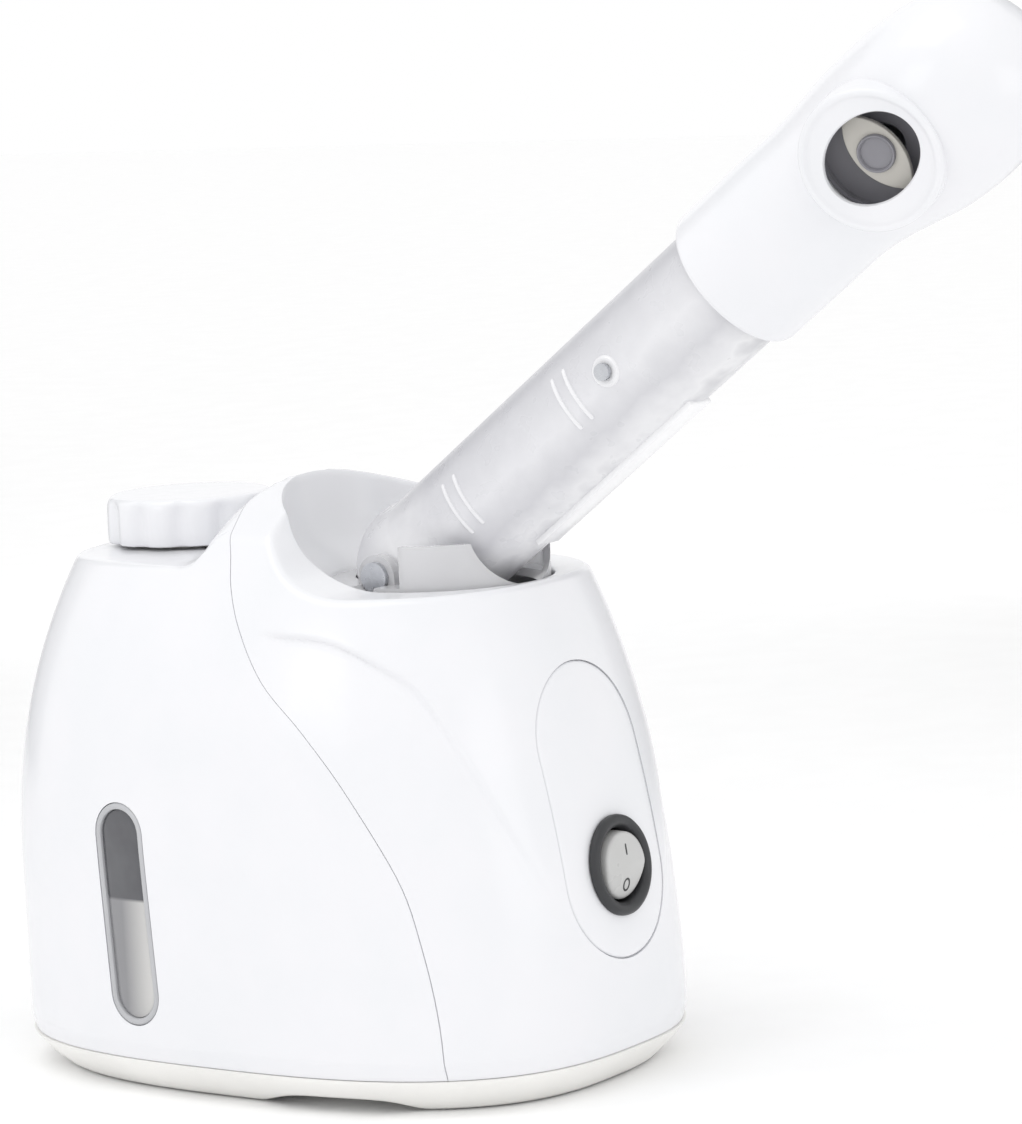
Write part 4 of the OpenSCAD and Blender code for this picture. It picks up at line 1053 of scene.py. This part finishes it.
mouth_cut = turned("mouth_cut", [(0, 10), (MOUTH_R, 10), (MOUTH_R, 45), (0, 45)], outlet_place)
cut_with(head, mouth_cut)
finish_piece(head, gloss_white_abs, "head", ["head_shell"])

# %% [markdown]
# ## Outlet collar
# The collar is a raised ring round the outlet. Its rim is round and its mouth is oval, so it
# can't be turned. It is a grid of rings instead, which go from the circle to the oval.

# %% Rings of the collar
MOUTH_HALF_W, MOUTH_HALF_H = 12, 15


def collar_ring(radius, oval_share, z):
    """A ring that goes from a circle to the mouth's oval."""
    x = (radius * (1 - oval_share) + MOUTH_HALF_W * oval_share) * np.cos(head_turns)
    y = (radius * (1 - oval_share) + MOUTH_HALF_H * oval_share) * np.sin(head_turns)
    return np.stack([x, y, np.full(HEAD_AROUND, float(z))], axis=-1)


collar_rings = [(20.5, 0, z) for z in (18.8, 24, 27, 28.6)]
collar_rings += [(20.4, 0, 29.2), (20.1, 0, 29.7), (19.6, 0, 29.95), (19, 0, 29.9), (18.5, 0, 29.6)]
collar_rings += [(18, 0, 29.15)]
collar_rings += [(17.6, share, 28.9 - 1.2 * share) for share in (0, 0.25, 0.5, 0.75, 0.93)]
collar_rings += [(17.6, 1, 27.3), (17.6, 1, 26.6)]
collar_rings += [(18.2, 0.6, 26.2), (18.2, 0.1, 25.8), (18.2, 0, 25), (18.2, 0, 18.8)]
collar = laid_grid("outlet_collar", np.array([collar_ring(*ring) for ring in collar_rings]), outlet_place,
                   round_rows=True)
finish_piece(collar, gloss_white_abs, "head", ["outlet_ring"])

# %% [markdown]
# ## Inside the mouth
# A flat bridge shaped like a lens crosses the mouth. The nozzle tip stands in its middle as a
# shallow dish with a small hole. Behind them a grey ring closes the view into the head: it is
# painted shade, put where the white inside of the head lies in shadow.

# %% Bridge, nozzle and painted shade ring
BRIDGE_LOW, BRIDGE_HIGH, LENS_R, LENS_OFFSET = 20.6, 22.6, 17, 10.1
half_sweep = math.acos(LENS_OFFSET / LENS_R)
bow = [(LENS_R * math.cos(a) - LENS_OFFSET, LENS_R * math.sin(a))
       for a in np.linspace(-half_sweep, half_sweep, 33)]
lens_outline = bow[:-1] + [(-x, -y) for x, y in bow[:-1]]
LENS_TURN = Matrix.Rotation(math.radians(90), 4, "Z")
bridge = cut_outline("outlet_bridge_plate", lens_outline, BRIDGE_HIGH - BRIDGE_LOW,
                     outlet_place @ Matrix.Translation((0, 0, BRIDGE_LOW * MM)) @ LENS_TURN)
soften(bridge, 0.35)
finish_piece(bridge, acetal_beige, "head", ["outlet_bridge"])
nozzle = turned("nozzle_dish", [
    (0, 17.6), (4.5, 17.6), (4.5, 22.5), (5.3, 22.5), (5.5, 22.7), (5.5, 23.5), (5.25, 23.9), (4.9, 23.9),
    (4.6, 23.6), (4.4, 22.9), (0, 22.7),
], outlet_place)
finish_piece(nozzle, acetal_grey, "head", ["nozzle_tip"])
# A grey ring that stands in for the shade inside the head: painted shade, not a real part.
mouth_shade_ring = turned("outlet_shade_ring", [
    (6, 14), (17.5, 15.6), (17.9, 16), (17.9, 19.2), (16.9, 19.2), (16.9, 16.8), (6, 15.2), (6, 14),
], outlet_place)
finish_piece(mouth_shade_ring, acetal_grey, "head")

# %% [markdown]
# ## The arm tube
# The arm is one clear moulding: a ball at the hub end, a straight tube, a flat rail underneath,
# a round boss for the stop screw and two pairs of grip bars. The ball and tube are turned; the
# rail is a rounded bar let into the tube; each grip bar is a short bent rod with round ends.

# %% Tube, rail, boss and grip bars
ARM_R, HUB_R, HUB_IN, ARM_WALL, ARM_END = 19.7, 21, 18.6, 2, 158
HUB_MOUTH = math.radians(48)
ball_top = math.pi - math.asin(ARM_R / HUB_R)
inside_top = math.pi - math.asin((ARM_R - ARM_WALL) / HUB_IN)
tube_profile = [(HUB_R * math.sin(t), -HUB_R * math.cos(t)) for t in np.linspace(HUB_MOUTH, ball_top, 24)]
tube_profile += [(ARM_R, s) for s in (12, 20, 40, 70, 100, 130, 150, 157.6)]
tube_profile += [(19.3, ARM_END), (18.1, ARM_END)]
tube_profile += [(ARM_R - ARM_WALL, s) for s in (157.6, 130, 100, 70, 40, 20)]
tube_profile += [(HUB_IN * math.sin(t), -HUB_IN * math.cos(t))
                 for t in np.linspace(inside_top, HUB_MOUTH, 20)]
tube = turned("arm_tube_clear", tube_profile + tube_profile[:1], arm_place, 160)
finish_piece(tube, frosted_arm_painted_bands, "arm", ["arm_tube"])

RAIL_LOW, RAIL_HIGH, RAIL_HALF_W, RAIL_ROOT, RAIL_H = 40, 110, 5.5, 18.2, 2.3
rail_outline = [(-RAIL_HALF_W, RAIL_LOW), (RAIL_HALF_W, RAIL_LOW), (RAIL_HALF_W, RAIL_HIGH),
                (-RAIL_HALF_W, RAIL_HIGH)]
rail = cut_outline("arm_rail", rail_outline, RAIL_H,
                   arm_place @ UPRIGHT @ Matrix.Translation((0, 0, RAIL_ROOT * MM)))
soften(rail, 0.6)
# The rail, boss and grip bars are painted lighter than the tube, and lighter still towards the head: painted
# highlight on their raised faces.
raised_trim_painted_highlight = frosted("frosted_polycarbonate_rail", [(-22, "F6F6F7"), (-15, "EBEBED")],
                     [(20, "F6F6F7"), (120, "FFFFFF")], 0.0, 0.22)
finish_piece(rail, raised_trim_painted_highlight, "arm")
BOSS_S, BOSS_R = 101, 4.5
boss_place = arm_place @ Matrix.Translation((0, 0, BOSS_S * MM)) @ Matrix.Rotation(math.radians(-90), 4, "Y")
boss = turned("arm_stop_boss", [
    (0, 17.9), (BOSS_R + 0.4, 17.9), (BOSS_R + 0.2, 19.4), (BOSS_R, 19.9), (BOSS_R - 0.4, 20.35), (3.4, 20.4),
    (3.0, 20.2), (0, 20.2),
], boss_place, 48)
finish_piece(boss, raised_trim_painted_highlight, "arm")


def bent_rod(name, s, first, last, centre_r, thick):
    """A rod bent round the arm's axis from one angle to another in degrees, with round ends."""
    angles = np.radians(np.concatenate([[first], np.linspace(first, last, 26), [last]]))
    sizes = np.concatenate([[0.02], thick * np.array([0.75] + [1.0] * 24 + [0.75]), [0.02]])
    section = np.linspace(0, 2 * math.pi, 14, endpoint=False)
    rows = []
    for angle, size in zip(angles, sizes):
        r = centre_r + size * np.cos(section)
        rows.append(np.stack([r * math.cos(angle), r * math.sin(angle), s + size * np.sin(section)], axis=-1))
    return laid_grid(name, np.array(rows), arm_place)


GRIP_SINK, GRIP_R = 0.05, 0.72
for s, first, last in ((32, 152, 204), (37, 152, 204), (83, 150, 202), (88, 150, 202)):
    bar = bent_rod("grip_bar_%d" % s, s, first, last, ARM_R - GRIP_SINK, GRIP_R)
    finish_piece(bar, raised_trim_painted_highlight, "arm")

# %% [markdown]
# ## Finishes for the CAD parts
# Everything else keeps its CAD shape, and takes the finish of the real part. Each CAD part is
# listed once with its material.

# %% Materials for the carried parts
CAD_FINISHES = {
    soft_rubber: ["foot_ring"],
    zinc_steel: ["base_screws", "bearing_screws", "pivot_screws", "stop_screw", "neck_clip"],
    terminal_brass: ["switch_terminals", "inlet_pins"],
    tank_white: ["tank_body"],
    tank_smoke: ["tank_cover"],
    dark_seal: ["tank_gasket", "cap_gasket", "arm_seal", "turret_retainer"],
    natural_polypropylene: ["filler_neck", "cap_plug", "feed_pipe", "steam_pipe", "turret_bearing",
                            "boiler_lid", "head_bearing"],
    cast_aluminium: ["boiler_cup", "heater_plate"],
    silicone_seal: ["boiler_seal", "steam_seal"],
    oxidised_sheath: ["heating_element"],
    black_nylon: ["thermostat", "power_inlet"],
    fired_ceramic: ["thermal_fuse"],
    # The neck shares the arm's painted shade and highlight bands.
    frosted_arm_painted_bands: ["neck_tube"],
    frosted_turret: ["turret_base"],
    brown_pvc: ["live_lead", "heater_lead"],
    blue_pvc: ["neutral_lead"],
}
for finish_material, names in CAD_FINISHES.items():
    for name in names:
        nodes[name].data.materials.clear()
        nodes[name].data.materials.append(finish_material)
print("CAD parts shown:", sum(not o.hide_render for o in nodes.values()))

# %% [markdown]
# ## Table
# The table is a wide pale board, and the cards of the studio are covered in grey felt. None of
# them is part of the steamer.

# %% The pale table and the felt
bpy.ops.object.select_all(action="DESELECT")
bpy.ops.mesh.primitive_plane_add(size=12, location=(0, 0, 0))
table = bpy.context.active_object
table.name = "studio_table"
flag_felt = moulded("grey_flag_felt", "A4A4A6", "98989A", 0.9, grain_mm=1.2)
for card in flag_cards:
    card.data.materials.append(flag_felt)
table_paint = moulded("pale_table_laminate", "FFFFFF", "FDFDFD", 0.8)
table.data.materials.append(table_paint)
